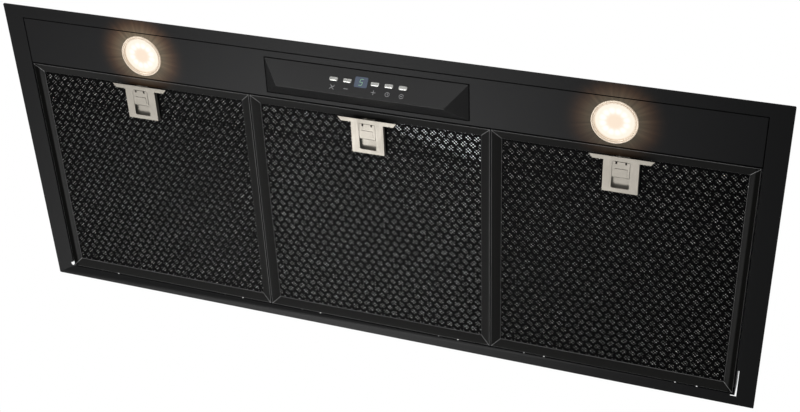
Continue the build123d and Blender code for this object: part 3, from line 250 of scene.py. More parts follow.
class Tree(Graph):
    """A geometry node tree built in the script, with named inputs."""

    def __init__(self, name: str, lengths: str, counts: str = "", meshes: str = "") -> None:
        """Start a tree that also takes a finish.

        Args:
            name: the tree's name.
            lengths: names of its inputs that are sizes, apart by spaces.
            counts: names of those that are whole numbers.
            meshes: names of those that are meshes.
        """
        group = bpy.data.node_groups.new(name, "GeometryNodeTree")
        super().__init__(group)
        face = group.interface
        face.new_socket(name="Mesh", in_out="OUTPUT", socket_type="NodeSocketGeometry")
        self.codes = {}
        for kind, names in (("Geometry", meshes), ("Float", lengths), ("Int", counts),
                            ("Material", "finish")):
            for entry in names.split():
                made = face.new_socket(name=entry, in_out="INPUT",
                                       socket_type=f"NodeSocket{kind}")
                self.codes[entry] = made.identifier
        self.entry = self.add("NodeGroupInput").outputs

    def join(self, *parts: Socket) -> Socket:
        """Put several meshes together.

        Args:
            parts: the meshes, whose order the result keeps.

        Returns:
            The joined mesh.
        """
        node = self.add("GeometryNodeJoinGeometry")
        for part in reversed(parts):
            self.tree.links.new(part, node.inputs[0])
        return node.outputs[0]

    def weld(self, mesh: Socket, reach: float = 0.02 * MM) -> Socket:
        """Join corners that lie together."""
        return self.first("GeometryNodeMergeByDistance", {0: mesh, "Distance": reach})

    def real(self, mesh: Socket) -> Socket:
        """Turn instances into a mesh."""
        return self.first("GeometryNodeRealizeInstances", {0: mesh})

    def thicken(self, skin: Socket, height: Socket) -> Socket:
        """Give a welded skin a thickness upward.

        Args:
            skin: the skin, facing up.
            height: the thickness.

        Returns:
            A mesh that is closed on all sides.
        """
        body = self.first("GeometryNodeExtrudeMesh", {
            "Mesh": skin, "Offset": self.arrow(z=1.0), "Offset Scale": height,
            "Individual": False})
        under = self.first("GeometryNodeFlipFaces", {0: skin})
        return self.weld(self.join(body, under))

    def index(self) -> Socket:
        """Each point's number."""
        return self.first("GeometryNodeInputIndex")

    def place(self) -> Sequence[Socket]:
        """Each point's three coordinates."""
        return self.split(self.first("GeometryNodeInputPosition"))

    def line(self, count: Socket, **inputs: Socket) -> Socket:
        """A run of points, all in one place unless an Offset is given."""
        return self.first("GeometryNodeMeshLine", {"Count": count, **inputs}, mode="OFFSET")

    def move(self, mesh: Socket, **inputs: Socket) -> Socket:
        """Set the points' Position, or move them by an Offset."""
        return self.first("GeometryNodeSetPosition", {0: mesh, **inputs})

    def repeat(self, points: Socket, piece: Socket, **inputs: Socket) -> Socket:
        """Set a copy of a piece on every point."""
        return self.first("GeometryNodeInstanceOnPoints", {
            0: points, "Instance": piece, **inputs})

    def close(self, mesh: Socket) -> None:
        """Turn the tree's instances into one dressed mesh and hand it out."""
        self.add("NodeGroupOutput", {0: self.first("GeometryNodeSetMaterial", {
            0: self.real(mesh), "Material": self.entry["finish"]})})

    def grow(self, name: str, start: bpy.types.Mesh | None = None,
             **values: object) -> bpy.types.Object:
        """Run the tree once and keep its result as a plain mesh object.

        Args:
            name: the new object's name.
            start: a mesh that the tree works on, if it takes one.
            values: the inputs' values by name.

        Returns:
            An object that holds the tree's result.
        """
        holder = new_object(name, start or bpy.data.meshes.new(name))
        modifier = holder.modifiers.new(name, "NODES")
        modifier.node_group = self.tree
        for entry, value in values.items():
            modifier[self.codes[entry]] = value
        return applied(holder)


# ---- meshes ----------------------------------------------------------------------------------
def new_object(name: str, mesh: bpy.types.Mesh) -> bpy.types.Object:
    """Put a mesh into the scene as an object at the origin.

    Args:
        name: the object's name.
        mesh: its mesh.

    Returns:
        The object.
    """
    made = bpy.data.objects.new(name, mesh)
    bpy.context.scene.collection.objects.link(made)
    return made


def applied(holder: bpy.types.Object) -> bpy.types.Object:
    """Keep what an object's modifiers make as its plain mesh.

    Args:
        holder: the object, changed in place.

    Returns:
        The same object.
    """
    evaluated = holder.evaluated_get(bpy.context.evaluated_depsgraph_get())
    mesh = bpy.data.meshes.new_from_object(evaluated)
    holder.modifiers.clear()
    holder.data = mesh
    return holder


def to_mesh(name: str, shape: Shape) -> bpy.types.Mesh:
    """Turn a finished bmesh into a mesh.

    Args:
        name: the mesh's name.
        shape: the bmesh, freed.

    Returns:
        The mesh.
    """
    mesh = bpy.data.meshes.new(name)
    shape.to_mesh(mesh)
    shape.free()
    return mesh


def smooth(mesh: bpy.types.Mesh, crease: float = 32.0) -> None:
    """Shade a mesh smooth between its sharp edges.

    Args:
        mesh: the mesh, changed in place.
        crease: edges over this angle in degrees stay sharp.
    """
    mesh.polygons.foreach_set("use_smooth", [True] * len(mesh.polygons))
    mesh.set_sharp_from_angle(angle=math.radians(crease))
    mesh.update()


def from_bmesh(name: str, shape: Shape, crease: float = 32.0) -> bpy.types.Object:
    """Make an object of a finished bmesh, normals outward, its large faces shaded flat.

    Args:
        name: the object's name.
        shape: the bmesh, freed.
        crease: edges over this angle in degrees stay sharp.

    Returns:
        The new object.
    """
    bmesh.ops.recalc_face_normals(shape, faces=shape.faces)
    mesh = to_mesh(name, shape)
    smooth(mesh, crease)
    piece = new_object(name, mesh)
    piece.modifiers.new("weighted", "WEIGHTED_NORMAL").keep_sharp = True
    return applied(piece)


def merged(node: str) -> Shape:
    """A CAD node's mesh with its doubled corners joined and its flat faces whole.

    Args:
        node: the CAD node, left as it is.

    Returns:
        The joined copy.
    """
    shape = bmesh.new()
    shape.from_mesh(frame["nodes"][node].data)
    bmesh.ops.remove_doubles(shape, verts=shape.verts, dist=0.002 * MM)
    bmesh.ops.dissolve_limit(shape, angle_limit=math.radians(0.6), verts=shape.verts,
                             edges=shape.edges)
    return shape


def ease_edges(shape: Shape, radius: float, steps: int = 2, crease: float = 34.0,
               edge_slot: int = -1) -> None:
    """Round the sharp edges of a mesh.

    Args:
        shape: the mesh, changed in place.
        radius: how far the rounding reaches from each edge.
        steps: faces across the rounding.
        crease: edges over this angle in degrees are rounded.
        edge_slot: material slot of the rounding, or -1 for that of the faces beside it.
    """
    limit = math.radians(crease)
    sharp = [edge for edge in shape.edges
             if edge.is_manifold and edge.calc_face_angle(0.0) > limit
             and edge.calc_length() > 2.2 * radius]
    bmesh.ops.bevel(shape, geom=sharp, offset=radius, offset_type="OFFSET", segments=steps,
                    profile=0.5, affect="EDGES", clamp_overlap=False, material=edge_slot)


def circle(shape: Shape, radius: float, height: float, steps: int,
           centre: Vector = Vector()) -> Corners:
    """Add a ring of corners to a mesh.

    Args:
        shape: the mesh.
        radius: the ring's radius; 0 gives one corner, named over and over.
        height: its height over the centre.
        steps: how many corners it has.
        centre: the axis's foot.

    Returns:
        The ring's corners.
    """
    if not radius:
        return [shape.verts.new(centre + Vector((0, 0, height)))] * steps
    turns = (2 * math.pi * step / steps for step in range(steps))
    return [shape.verts.new(centre + Vector((radius * math.cos(turn), radius * math.sin(turn),
                                             height))) for turn in turns]


def bridge(shape: Shape, rings: Sequence[Corners], closed: bool = True) -> None:
    """Lay faces between rings of as many corners.

    Args:
        shape: the mesh.
        rings: the rings, one after another.
        closed: whether faces also go from the last ring to the first.
    """
    onward = [*rings[1:], rings[0]] if closed else rings[1:]
    for near, far in zip(rings, onward):
        for here in range(len(near)):
            after = (here + 1) % len(near)
            corners = dict.fromkeys((near[here], near[after], far[after], far[here]))
            if len(corners) > 2:
                shape.faces.new(list(corners))


def lathe(name: str, profile: Sequence[Point], centre: Vector,
          steps: int = 96) -> bpy.types.Object:
    """Spin a closed outline round an upright axis.

    Args:
        name: the piece's name.
        profile: corners of the outline as (radius, height over the centre).
        centre: the axis's foot.
        steps: faces round the axis.

    Returns:
        The turned piece.
    """
    shape = bmesh.new()
    bridge(shape, [circle(shape, radius, height, steps, centre) for radius, height in profile])
    return from_bmesh(name, shape, crease=50.0)


def flat_band(name: str, low: Vector, high: Vector, outward: float, inward: float,
              face: float, thick: float) -> bpy.types.Object:
    """Make a thin closed band along a rectangle.

    Args:
        name: the piece's name.
        low: the rectangle's lower corner.
        high: its upper corner.
        outward: how far the band reaches outside the rectangle.
        inward: how far it reaches inside.
        face: height of the band's middle.
        thick: half its thickness.

    Returns:
        The new piece.
    """
    shape = bmesh.new()
    rings = []
    for reach, height in ((outward, -thick), (outward, thick), (-inward, thick),
                          (-inward, -thick)):
        corners = ((low.x - reach, low.y - reach), (high.x + reach, low.y - reach),
                   (high.x + reach, high.y + reach), (low.x - reach, high.y + reach))
        rings.append([shape.verts.new((x, y, face + height)) for x, y in corners])
    bridge(shape, rings)
    return from_bmesh(name, shape)


def joined(name: str, sources: Sequence[bpy.types.Object]) -> bpy.types.Object:
    """Join several new objects into one and remove them.

    Args:
        name: the new object's name.
        sources: the objects, all in the first one's finish.

    Returns:
        The new object.
    """
    shape = bmesh.new()
    for source in sources:
        shape.from_mesh(source.data)
    mesh = to_mesh(name, shape)
    for material in sources[0].data.materials:
        mesh.materials.append(material)
    for source in sources:
        bpy.data.objects.remove(source)
    return new_object(name, mesh)


def round_box(node: str) -> tuple[Vector, float]:
    """Centre and radius of a round CAD piece."""
    low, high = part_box(node)
    return (low + high) / 2, (high.x - low.x) / 2


# ---- finishes --------------------------------------------------------------------------------
class Grain(Enum):
    """Direction of a brushed grain, as stretch factors."""

    ALONG_X = (0.02, 1.0, 1.0)
    ALONG_Y = (1.0, 0.02, 1.0)
    ALONG_Z = (1.0, 1.0, 0.02)


@dataclass(frozen=True)
class Finish:
    """A surface finish with its record slot, colour and gloss."""

    name: str
    slot: str
    colour: Colour
    roughness: float = 0.5
    metallic: float = 0.0
    specular: float = 0.5

    def build(self) -> bpy.types.Material:
        """Make the material once and give it.

        Returns:
            The material.
        """
        material = bpy.data.materials.get(self.name)
        if not material:
            material = bpy.data.materials.new(self.name)
            material.use_nodes = True
            material.diffuse_color = (*self.colour, 1.0)
            graph = ShaderGraph(material)
            for name, value in (("Base Color", self.colour), ("Roughness", self.roughness),
                                ("Metallic", self.metallic),
                                ("Specular IOR Level", self.specular)):
                graph.feed(name, value)
            self.dress(graph)
        return material

    def dress(self, graph: ShaderGraph) -> None:
        """Add what the finish shows up close; the plain finish has a faint mottle."""
        graph.coat(graph.noise(90.0), self.colour, 0.9, 1.1)
        graph.gloss(graph.noise(35.0), self.roughness, 0.05)


@dataclass(frozen=True)
class PaintedLampGlow:
    """Painted warm light standing for a lamp's spill on the metal round it, stronger to its front and on
    the left.
    """

    near: Colour = (1.0, 0.80, 0.52)
    far: Colour = (1.0, 0.50, 0.24)
    strength: float = 0.075
    reach: float = 36 * MM
    lean: Triple = (0.0, -1.0, 0.0)
    left_gain: float = 1.75

    def shine(self, graph: ShaderGraph) -> None:
        """Add the painted glow round both lamps to a finish, as emission.

        Args:
            graph: the finish's nodes.
        """
        centre, radius = round_box("lamp_right_rim")
        side, _, _, arm, distance = graph.around(centre)
        ray = graph.vector("NORMALIZE", arm).outputs[0]
        streaks = graph.first("ShaderNodeTexNoise", {"Vector": ray, "Scale": 9.0,
                                                     "Detail": 2.0})
        toward = graph.vector("DOT_PRODUCT", ray, self.lean).outputs["Value"]
        near = graph.span(distance, radius, radius + self.reach, 1.0, 0.0, soft=True)
        part = graph.span(distance, radius, radius + self.reach * 0.45, 0.0, 1.0)
        graph.feed("Emission Color", graph.blend(part, self.near, self.far))
        graph.feed("Emission Strength", graph.times(
            near, near, self.strength, graph.span(streaks, 0.3, 0.7, 0.75, 1.2),
            graph.span(toward, -1.0, 1.0, 0.8, 1.2),
            graph.span(side, -1.0, 1.0, self.left_gain, 1.0)))


@dataclass(frozen=True)
class BakedPaint(Finish):
    """Powder-baked paint: fine orange peel and flecks, with a painted sheen that falls off to the right,
    painted shade at both ends if asked and, by the lamps, their painted glow.
    """

    peel: float = 0.06
    glow: PaintedLampGlow | None = None
    shade_from: float | None = None
    shade_w: float = 1.5 * MM
    # painted sheen: the specular level is painted to fall from full at sheen_west to the share fade of it
    # at sheen_east
    sheen_west: float = -0.05
    sheen_east: float = 0.42
    fade: float = 0.45

    def dress(self, graph: ShaderGraph) -> None:
        """Add flecks, peel, the painted sheen, the painted shade at both ends and the lamps' painted glow.

        Args:
            graph: the finish's nodes.
        """
        graph.coat(graph.noise(1500.0, 1.0), self.colour, 0.72, 1.28)
        graph.gloss(graph.noise(700.0, 2.0), self.roughness, 0.03)
        graph.bump(graph.noise(1100.0, 2.0), self.peel, 0.05 * MM)
        # painted sheen: the gloss falls off from left to right as the lamps' reflection does
        east = graph.split(graph.place)[0]
        painted_sheen = graph.span(east, self.sheen_west, self.sheen_east, self.specular,
                           self.specular * self.fade)
        # painted shade: beyond shade_from the gloss dies away, darkening both ends
        if self.shade_from:
            away = graph.math("ABSOLUTE", east)
            painted_sheen = graph.times(painted_sheen, graph.span(away, self.shade_from,
                                                  self.shade_from + self.shade_w, 1.0, 0.0))
        graph.feed("Specular IOR Level", painted_sheen)
        if self.glow:
            self.glow.shine(graph)


@dataclass(frozen=True)
class BrushedMetal(Finish):
    """Metal with a fine grain in one direction."""

    grain: Grain = Grain.ALONG_Y
    depth: float = 0.25

    def dress(self, graph: ShaderGraph) -> None:
        """Add the grain to colour, gloss and relief.

        Args:
            graph: the finish's nodes.
        """
        grain = graph.noise(1600.0, 4.0, self.grain.value)
        cloud = graph.span(graph.noise(30.0), 0.3, 0.7, self.roughness - 0.04,
                           self.roughness + 0.04)
        graph.coat(grain, self.colour, 0.86, 1.12)
        graph.feed("Roughness", graph.math("ADD", graph.span(grain, 0.3, 0.7, -0.06, 0.06),
                                           cloud))
        graph.bump(grain, self.depth, 0.02 * MM)


@dataclass(frozen=True)
class SpangledZinc(Finish):
    """Hot-dipped zinc with its crystal spangle."""

    crystal: float = 9 * MM

    def dress(self, graph: ShaderGraph) -> None:
        """Add crystals that differ in tone and gloss.

        Args:
            graph: the finish's nodes.
        """
        tint, gleam, _ = graph.cells(self.crystal)
        shade = graph.math("ADD", graph.times(tint, 0.6),
                           graph.times(graph.noise(400.0, 4.0), 0.4))
        graph.coat(shade, self.colour, 0.78, 1.16)
        graph.feed("Roughness", graph.span(gleam, 0.0, 1.0, self.roughness - 0.08,
                                           self.roughness + 0.08))
        graph.bump(graph.noise(160.0, 2.0), 0.15, 0.03 * MM)


@dataclass(frozen=True)
class Moulding(Finish):
    """Moulded plastic with a fine spark-eroded texture."""

    texture: float = 0.22

    def dress(self, graph: ShaderGraph) -> None:
        """Add the texture and a faint flow mottle.

        Args:
            graph: the finish's nodes.
        """
        graph.coat(graph.noise(45.0), self.colour, 0.9, 1.1)
        graph.gloss(graph.noise(600.0), self.roughness, 0.05)
        graph.bump(graph.noise(2600.0, 2.0), self.texture, 0.03 * MM)


@dataclass(frozen=True)
class Corner:
    """A corner of the knit painted with glowing light, standing for light that comes through from behind,
    past a slanting line.
    """

    start: Point
    end: Point
    east: float
    light: float = 0.95
    edge: float = 2.5 * MM
    west_from: float = 7 * MM
    west_to: float = 4 * MM

    def level(self, graph: ShaderGraph) -> Socket:
        """How much painted light it glows with.

        Args:
            graph: the finish's nodes.

        Returns:
            The light at each place.
        """
        x, y, _ = graph.split(graph.place)
        slope = (self.end[1] - self.start[1]) / (self.end[0] - self.start[0])
        line = graph.math("MULTIPLY_ADD", x, slope, self.start[1] - slope * self.start[0])
        below = graph.math("SUBTRACT", line, y)
        return graph.times(
            graph.span(below, 0.0, self.edge, 0.0, self.light),
            graph.span(x, self.start[0] - self.west_from, self.start[0] - self.west_to, 0.0, 1.0),
            graph.math("LESS_THAN", x, self.east))


@dataclass(frozen=True)
class KnitWire(Finish):
    """Dull wire of the inner knit, with scattered painted glints and, if asked, one corner painted with
    glowing light.
    """

    glint: Colour = (0.72, 0.73, 0.71)
    spot: float = 2.1 * MM
    share: float = 0.015
    corner: Corner | None = None
    corner_light: Colour = (0.93, 0.96, 1.0)

    def dress(self, graph: ShaderGraph) -> None:
        """Vary the wire's tone, scatter painted glints over it and paint glowing light into its corner if
        it has one.

        Args:
            graph: the finish's nodes.
        """
        chance, tint, gleam = graph.cells(self.spot)
        bright = graph.math("GREATER_THAN", chance, 1.0 - self.share)
        dull = graph.tone(tint, self.colour, 0.35, 1.6)
        graph.feed("Base Color", graph.blend(bright, dull, self.glint))
        graph.feed("Roughness", graph.span(gleam, 0.0, 1.0, self.roughness - 0.08,
                                           self.roughness + 0.10))
        # painted light: the corner glows by emission though no lamp is there
        if self.corner:
            graph.feed("Emission Color", self.corner_light)
            graph.feed("Emission Strength", graph.times(
                self.corner.level(graph), graph.span(tint, 0.0, 1.0, 0.55, 1.3)))


@dataclass(frozen=True)
class Cloth(Finish):
    """Fine dark cloth of woven wire, kept near black: partly the filter's own dark layers, partly painted
    shade deep inside the filter.
    """

    weave: float = 0.9 * MM

    def dress(self, graph: ShaderGraph) -> None:
        """Weave two sets of threads.

        Args:
            graph: the finish's nodes.
        """
        turn = 2 * math.pi / self.weave
        warp, weft = (graph.math("SINE", graph.times(part, turn))
                      for part in graph.split(graph.place)[:2])
        crossing = graph.times(warp, weft)
        graph.coat(graph.span(crossing, 0.0, 1.0, 0.0, 1.0), self.colour, 0.3, 2.4)
        graph.bump(crossing, 0.3, 0.1 * MM)


@dataclass(frozen=True)
class LitLens(Finish):
    """Frosted lens lit from behind by a ring of small light sources."""

    spots: int = 12
    ring: float = 12.2 * MM
    spot: float = 3.7 * MM
    bright: Colour = (1.0, 0.99, 0.95)
    middle: Colour = (0.90, 0.735, 0.58)
    body: Colour = (0.95, 0.87, 0.74)
    rim: Colour = (0.86, 0.72, 0.56)

    def dress(self, graph: ShaderGraph) -> None:
        """Paint the light that comes through: middle, ring of spots and darker rim.

        Args:
            graph: the finish's nodes.
        """
        centre, radius = round_box("lamp_right_lens")
        _, east, north, _, distance = graph.around(centre)
        turn = graph.times(graph.math("ARCTAN2", north, east), self.spots / (2 * math.pi))
        off = graph.math("SUBTRACT", graph.math("FRACT", turn), 0.5)
        along = graph.times(off, 2 * math.pi * self.ring / self.spots)
        across = graph.math("SUBTRACT", distance, self.ring)
        away = graph.vector("LENGTH", graph.arrow(along, across)).outputs["Value"]
        glare = graph.span(away, self.spot * 0.2, self.spot * 1.35, 1.0, 0.0, soft=True)
        inner = graph.span(distance, self.ring * 0.42, self.ring * 0.95, 0.0, 1.0, soft=True)
        outer = graph.span(distance, radius * 0.90, radius * 0.99, 0.0, 1.0, soft=True)
        colour = graph.blend(inner, self.middle, self.body)
        colour = graph.blend(outer, colour, self.rim)
        graph.feed("Emission Color", graph.blend(glare, colour, self.bright))
        graph.feed("Emission Strength", 1.0)
        graph.gloss(graph.noise(900.0), self.roughness, 0.05)


@dataclass(frozen=True)
class LampMetal(Finish):
    """Bright rim with a painted warm glow that stands for its lamp's light on it."""

    painted_warm_glow: float = 0.14
    light: Colour = (1.0, 0.70, 0.44)

    def dress(self, graph: ShaderGraph) -> None:
        """Add a soft cloud and the painted warm glow.

        Args:
            graph: the finish's nodes.
        """
        cloud = graph.noise(60.0, 2.0)
        graph.coat(cloud, self.colour, 0.94, 1.05)
        graph.gloss(cloud, self.roughness, 0.03)
        graph.feed("Emission Color", self.light)
        graph.feed("Emission Strength", self.painted_warm_glow)


@dataclass(frozen=True)
class LitSign(Finish):
    """A sign or figure that gives light."""

    strength: float = 1.0

    def dress(self, graph: ShaderGraph) -> None:
        """Light the sign evenly, with a faint grain."""
        graph.feed("Emission Color", graph.tone(graph.noise(1500.0), self.colour, 0.9, 1.1))
        graph.feed("Emission Strength", self.strength)


@dataclass(frozen=True)
class Backdrop(Finish):
    """Pale floor that the camera sees a little brighter than the light it gives."""

    lift: float = 0.30

    def dress(self, graph: ShaderGraph) -> None:
        """Add a faint cloud and the lift.

        Args:
            graph: the finish's nodes.
        """
        graph.coat(graph.noise(1.5), self.colour, 0.98, 1.02)
        path = graph.add("ShaderNodeLightPath").outputs["Is Camera Ray"]
        graph.feed("Emission Color", WHITE)
        graph.feed("Emission Strength", graph.times(path, self.lift))


# plate, strip and frame paints carry a painted glow round the lamps; every baked paint carries a painted
# sheen
PLATE_PAINT = BakedPaint("plate_paint", "plate_black", (0.0026, 0.0027, 0.0029), 0.38,
                         specular=0.10, glow=PaintedLampGlow())
STRIP_PAINT = BakedPaint("strip_paint", "plate_black", (0.0029, 0.0030, 0.0033), 0.38,
                         specular=0.105, peel=0.04, glow=PaintedLampGlow())
# the seam band: a near-black band in the joint round the strip, the gap's dark line with its painted
# shadow
SEAM_SHADOW_PAINT = BakedPaint("seam_shadow_paint", "plate_black", (0.0006, 0.0006, 0.0006), 0.5,
                        specular=0.01)
# the frames get a weaker painted glow and painted shade at the outer ends of the row
FRAME_PAINT = BakedPaint("filter_frame_paint", "plate_black", (0.0032, 0.0032, 0.0030), 0.38,
                         specular=0.12, glow=PaintedLampGlow(strength=0.04), shade_from=400 * MM)
# painted highlight: a far lighter, glossier paint on the frames' rounded edges and mitre grooves stands
# for the light they catch
EDGE_HIGHLIGHT_PAINT = BakedPaint("filter_edge_highlight_paint", "plate_black", (0.085, 0.085, 0.085), 0.38,
                        specular=0.35, shade_from=400 * MM)
SCREEN_PAINT = BakedPaint("filter_screen_paint", "mesh_black", (0.0013, 0.0013, 0.0014), 0.34,
                          specular=0.016)
KNIT_WIRE = KnitWire("knit_wire", "mesh_black", (0.022, 0.022, 0.021), 0.42, metallic=0.4,
                     specular=0.2, share=0.0)
# painted light: the knots are painted far lighter than the wire for the glint at each crossing, in three
# copies lit to different levels, lighter on the left and middle filters and darker on the right; their
# glint cells are painted highlights
KNOT = KnitWire("knit_knots", "mesh_black", (0.14, 0.142, 0.14), 0.38, metallic=0.3,
                spot=0.8 * MM, share=0.22)
KNOT_PAINTED_BRIGHT = KnitWire("knit_knots_painted_bright", "mesh_black", (0.22, 0.222, 0.22), 0.38, metallic=0.3,
                     spot=0.8 * MM, share=0.34, glint=(1.0, 1.0, 0.98))
KNOT_LIT = KnitWire("knit_knots_lit", "mesh_black", (0.30, 0.305, 0.30), 0.38, metallic=0.3,
                    spot=0.8 * MM, share=0.28, glint=(1.0, 1.0, 0.98),
                    corner=Corner((0.0346, -0.0880), (0.1204, -0.0680), 0.135))
# partly painted shade: the near-black cloth behind the knit darkens what shows through the holes
BACK_CLOTH = Cloth("filter_cloth", "mesh_black", (0.0020, 0.0021, 0.0020), 0.7, specular=0.05)
BACK_SHEET = SpangledZinc("filter_back_sheet", "mesh_black", (0.03, 0.03, 0.03), 0.5)
NICKEL = BrushedMetal("satin_nickel_plate", "satin_nickel", (0.205, 0.190, 0.165), 0.42,
                      metallic=0.80)
# painted shade: a dark brown paint on the latch tongue's rounded edges stands for the shadow in the slits
# round it
SLIT_SHADE = BrushedMetal("latch_slit_shade", "satin_nickel", (0.045, 0.038, 0.030), 0.6, metallic=0.5)
ZINC = SpangledZinc("galvanised_sheet", "galvanised", (0.56, 0.57, 0.58), 0.38, metallic=0.85)
POD_PLASTIC = Moulding("pod_plastic", "pod_black", (0.0055, 0.0055, 0.0057), 0.42,
                       specular=0.19)
SILVER = BrushedMetal("button_silver_cap", "button_silver", (0.37, 0.37, 0.355), 0.26,
                      metallic=0.85, grain=Grain.ALONG_X)
WINDOW = Finish("display_window_tint", "display_tint", (0.055, 0.068, 0.095), 0.12,
                specular=0.35)
DIGIT = LitSign("digit_light", "display_tint", (0.10, 0.20, 0.11), 0.30)
# painted shadow: a near-black thin band round the pod's foot stands for the shadow there; it only borrows
# the rubber slot
POD_FOOT_SHADOW = Moulding("pod_foot_shadow_paint", "rubber", (0.0010, 0.0010, 0.0010), 0.8, specular=0.01)
MARK = Finish("pod_marks", "pod_black", (0.22, 0.22, 0.225), 0.5, specular=0.2)
BLOCK = Moulding("digit_block", "digit_block", (0.03, 0.03, 0.03), 0.55)
BOARD = Finish("circuit_board", "board_green", (0.02, 0.12, 0.06), 0.40)
RIM_METAL = LampMetal("lamp_rim_metal", "lamp_chrome", (0.48, 0.42, 0.35), 0.38, metallic=0.3)
LENS = LitLens("lamp_lens_lit", "lamp_frost", (0.03, 0.028, 0.025), 0.45, specular=0.2)
LED_BOARD = LitSign("lamp_board_lit", "lamp_led", (0.95, 0.90, 0.80), 0.5)
SINK = BrushedMetal("sink_aluminium", "sink_aluminium", (0.68, 0.69, 0.70), 0.36,
                    metallic=0.9, grain=Grain.ALONG_Z)
WHEEL = Moulding("wheel_coat", "wheel_grey", (0.16, 0.165, 0.17), 0.48)
STEEL = BrushedMetal("shaft_steel", "shaft_steel", (0.56, 0.56, 0.56), 0.30, metallic=0.95,
                     grain=Grain.ALONG_X)
MOTOR_COAT = BakedPaint("motor_coat", "motor_grey", (0.13, 0.135, 0.145), 0.44)
RUBBER = Moulding("bush_rubber", "rubber", (0.020, 0.020, 0.020), 0.80, texture=0.3)
COLLAR = Moulding("collar_plastic", "collar_black", (0.025, 0.025, 0.027), 0.46)
FLAP = SpangledZinc("flap_sheet", "flap_zinc", (0.52, 0.53, 0.54), 0.36, metallic=0.9,
                    crystal=6 * MM)
CASE = Moulding("case_plastic", "case_grey", (0.46, 0.46, 0.44), 0.55)
SCREW = BrushedMetal("screw_zinc", "screw_zinc", (0.62, 0.62, 0.58), 0.30, metallic=0.95,
                     grain=Grain.ALONG_X)
FLOOR = Backdrop("floor_pale", "floor", (0.80, 0.80, 0.79), 0.9, specular=0.1)


# ---- how pieces join the frame ---------------------------------------------------------------
def body_of(node: str) -> str:
    """The CAD body that a node belongs to."""
    bodies = frame["record"]["behaviour"]["bodies"]
    return next(body for body, members in bodies.items() if node in members)


def settle(piece: bpy.types.Object, finish: Finish, body: str, *nodes: str) -> None:
    """Dress a new piece, tie it to its body and hide the CAD nodes that it stands for.

    Args:
        piece: the new object.
        finish: its finish.
        body: the CAD body that it moves with.
        nodes: CAD nodes that it replaces.
    """
    if not piece.data.materials:
        piece.data.materials.append(finish.build())
    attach(piece, body)
    if nodes:
        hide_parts(*nodes)
    log.info("made %s on %s, %d faces", piece.name, body, len(piece.data.polygons))


def dress(finish: Finish, *nodes: str) -> None:
    """Give CAD nodes a finish.

    Args:
        finish: the finish.
        nodes: the nodes.
    """
    for node in nodes:
        for slot in frame["nodes"][node].material_slots:
            slot.material = finish.build()
        log.info("dressed %s in %s", node, finish.name)


def softened(node: str, name: str, finish: Finish, radius: float = 0.25 * MM,
             steps: int = 2, edge: Finish | None = None) -> None:
    """Replace a CAD node by its copy with rounded edges.

    Args:
        node: the CAD node.
        name: the new piece's name.
        finish: its finish.
        radius: how far the rounding reaches.
        steps: faces across the rounding.
        edge: another finish for the rounding, if it has one.
    """
    shape = merged(node)
    ease_edges(shape, radius, steps, edge_slot=1 if edge else -1)
    piece = from_bmesh(name, shape)
    for layer in (finish, edge) if edge else (finish,):
        piece.data.materials.append(layer.build())
    settle(piece, finish, body_of(node), node)


# ---- the face plate and strip -----------------------------------------------------------------
@dataclass
class FacePlate:
    """Flange with its folded walls, and the control strip let into it."""

    edge: float = 0.30 * MM
    seam_w: float = 1.1 * MM
    seam_t: float = 0.08 * MM

    def build(self) -> None:
        """Make both sheets and a near-black band in the seam round the strip, the gap's dark line with its
        painted shadow.
        """
        softened("face_frame", "face_plate", PLATE_PAINT, self.edge)
        softened("control_strip", "strip_tray", STRIP_PAINT, self.edge)
        low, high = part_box("control_strip")
        seam = flat_band("strip_seam_shadow", low, high, 0.0, self.seam_w, low.z, self.seam_t)
        settle(seam, SEAM_SHADOW_PAINT, "hood")


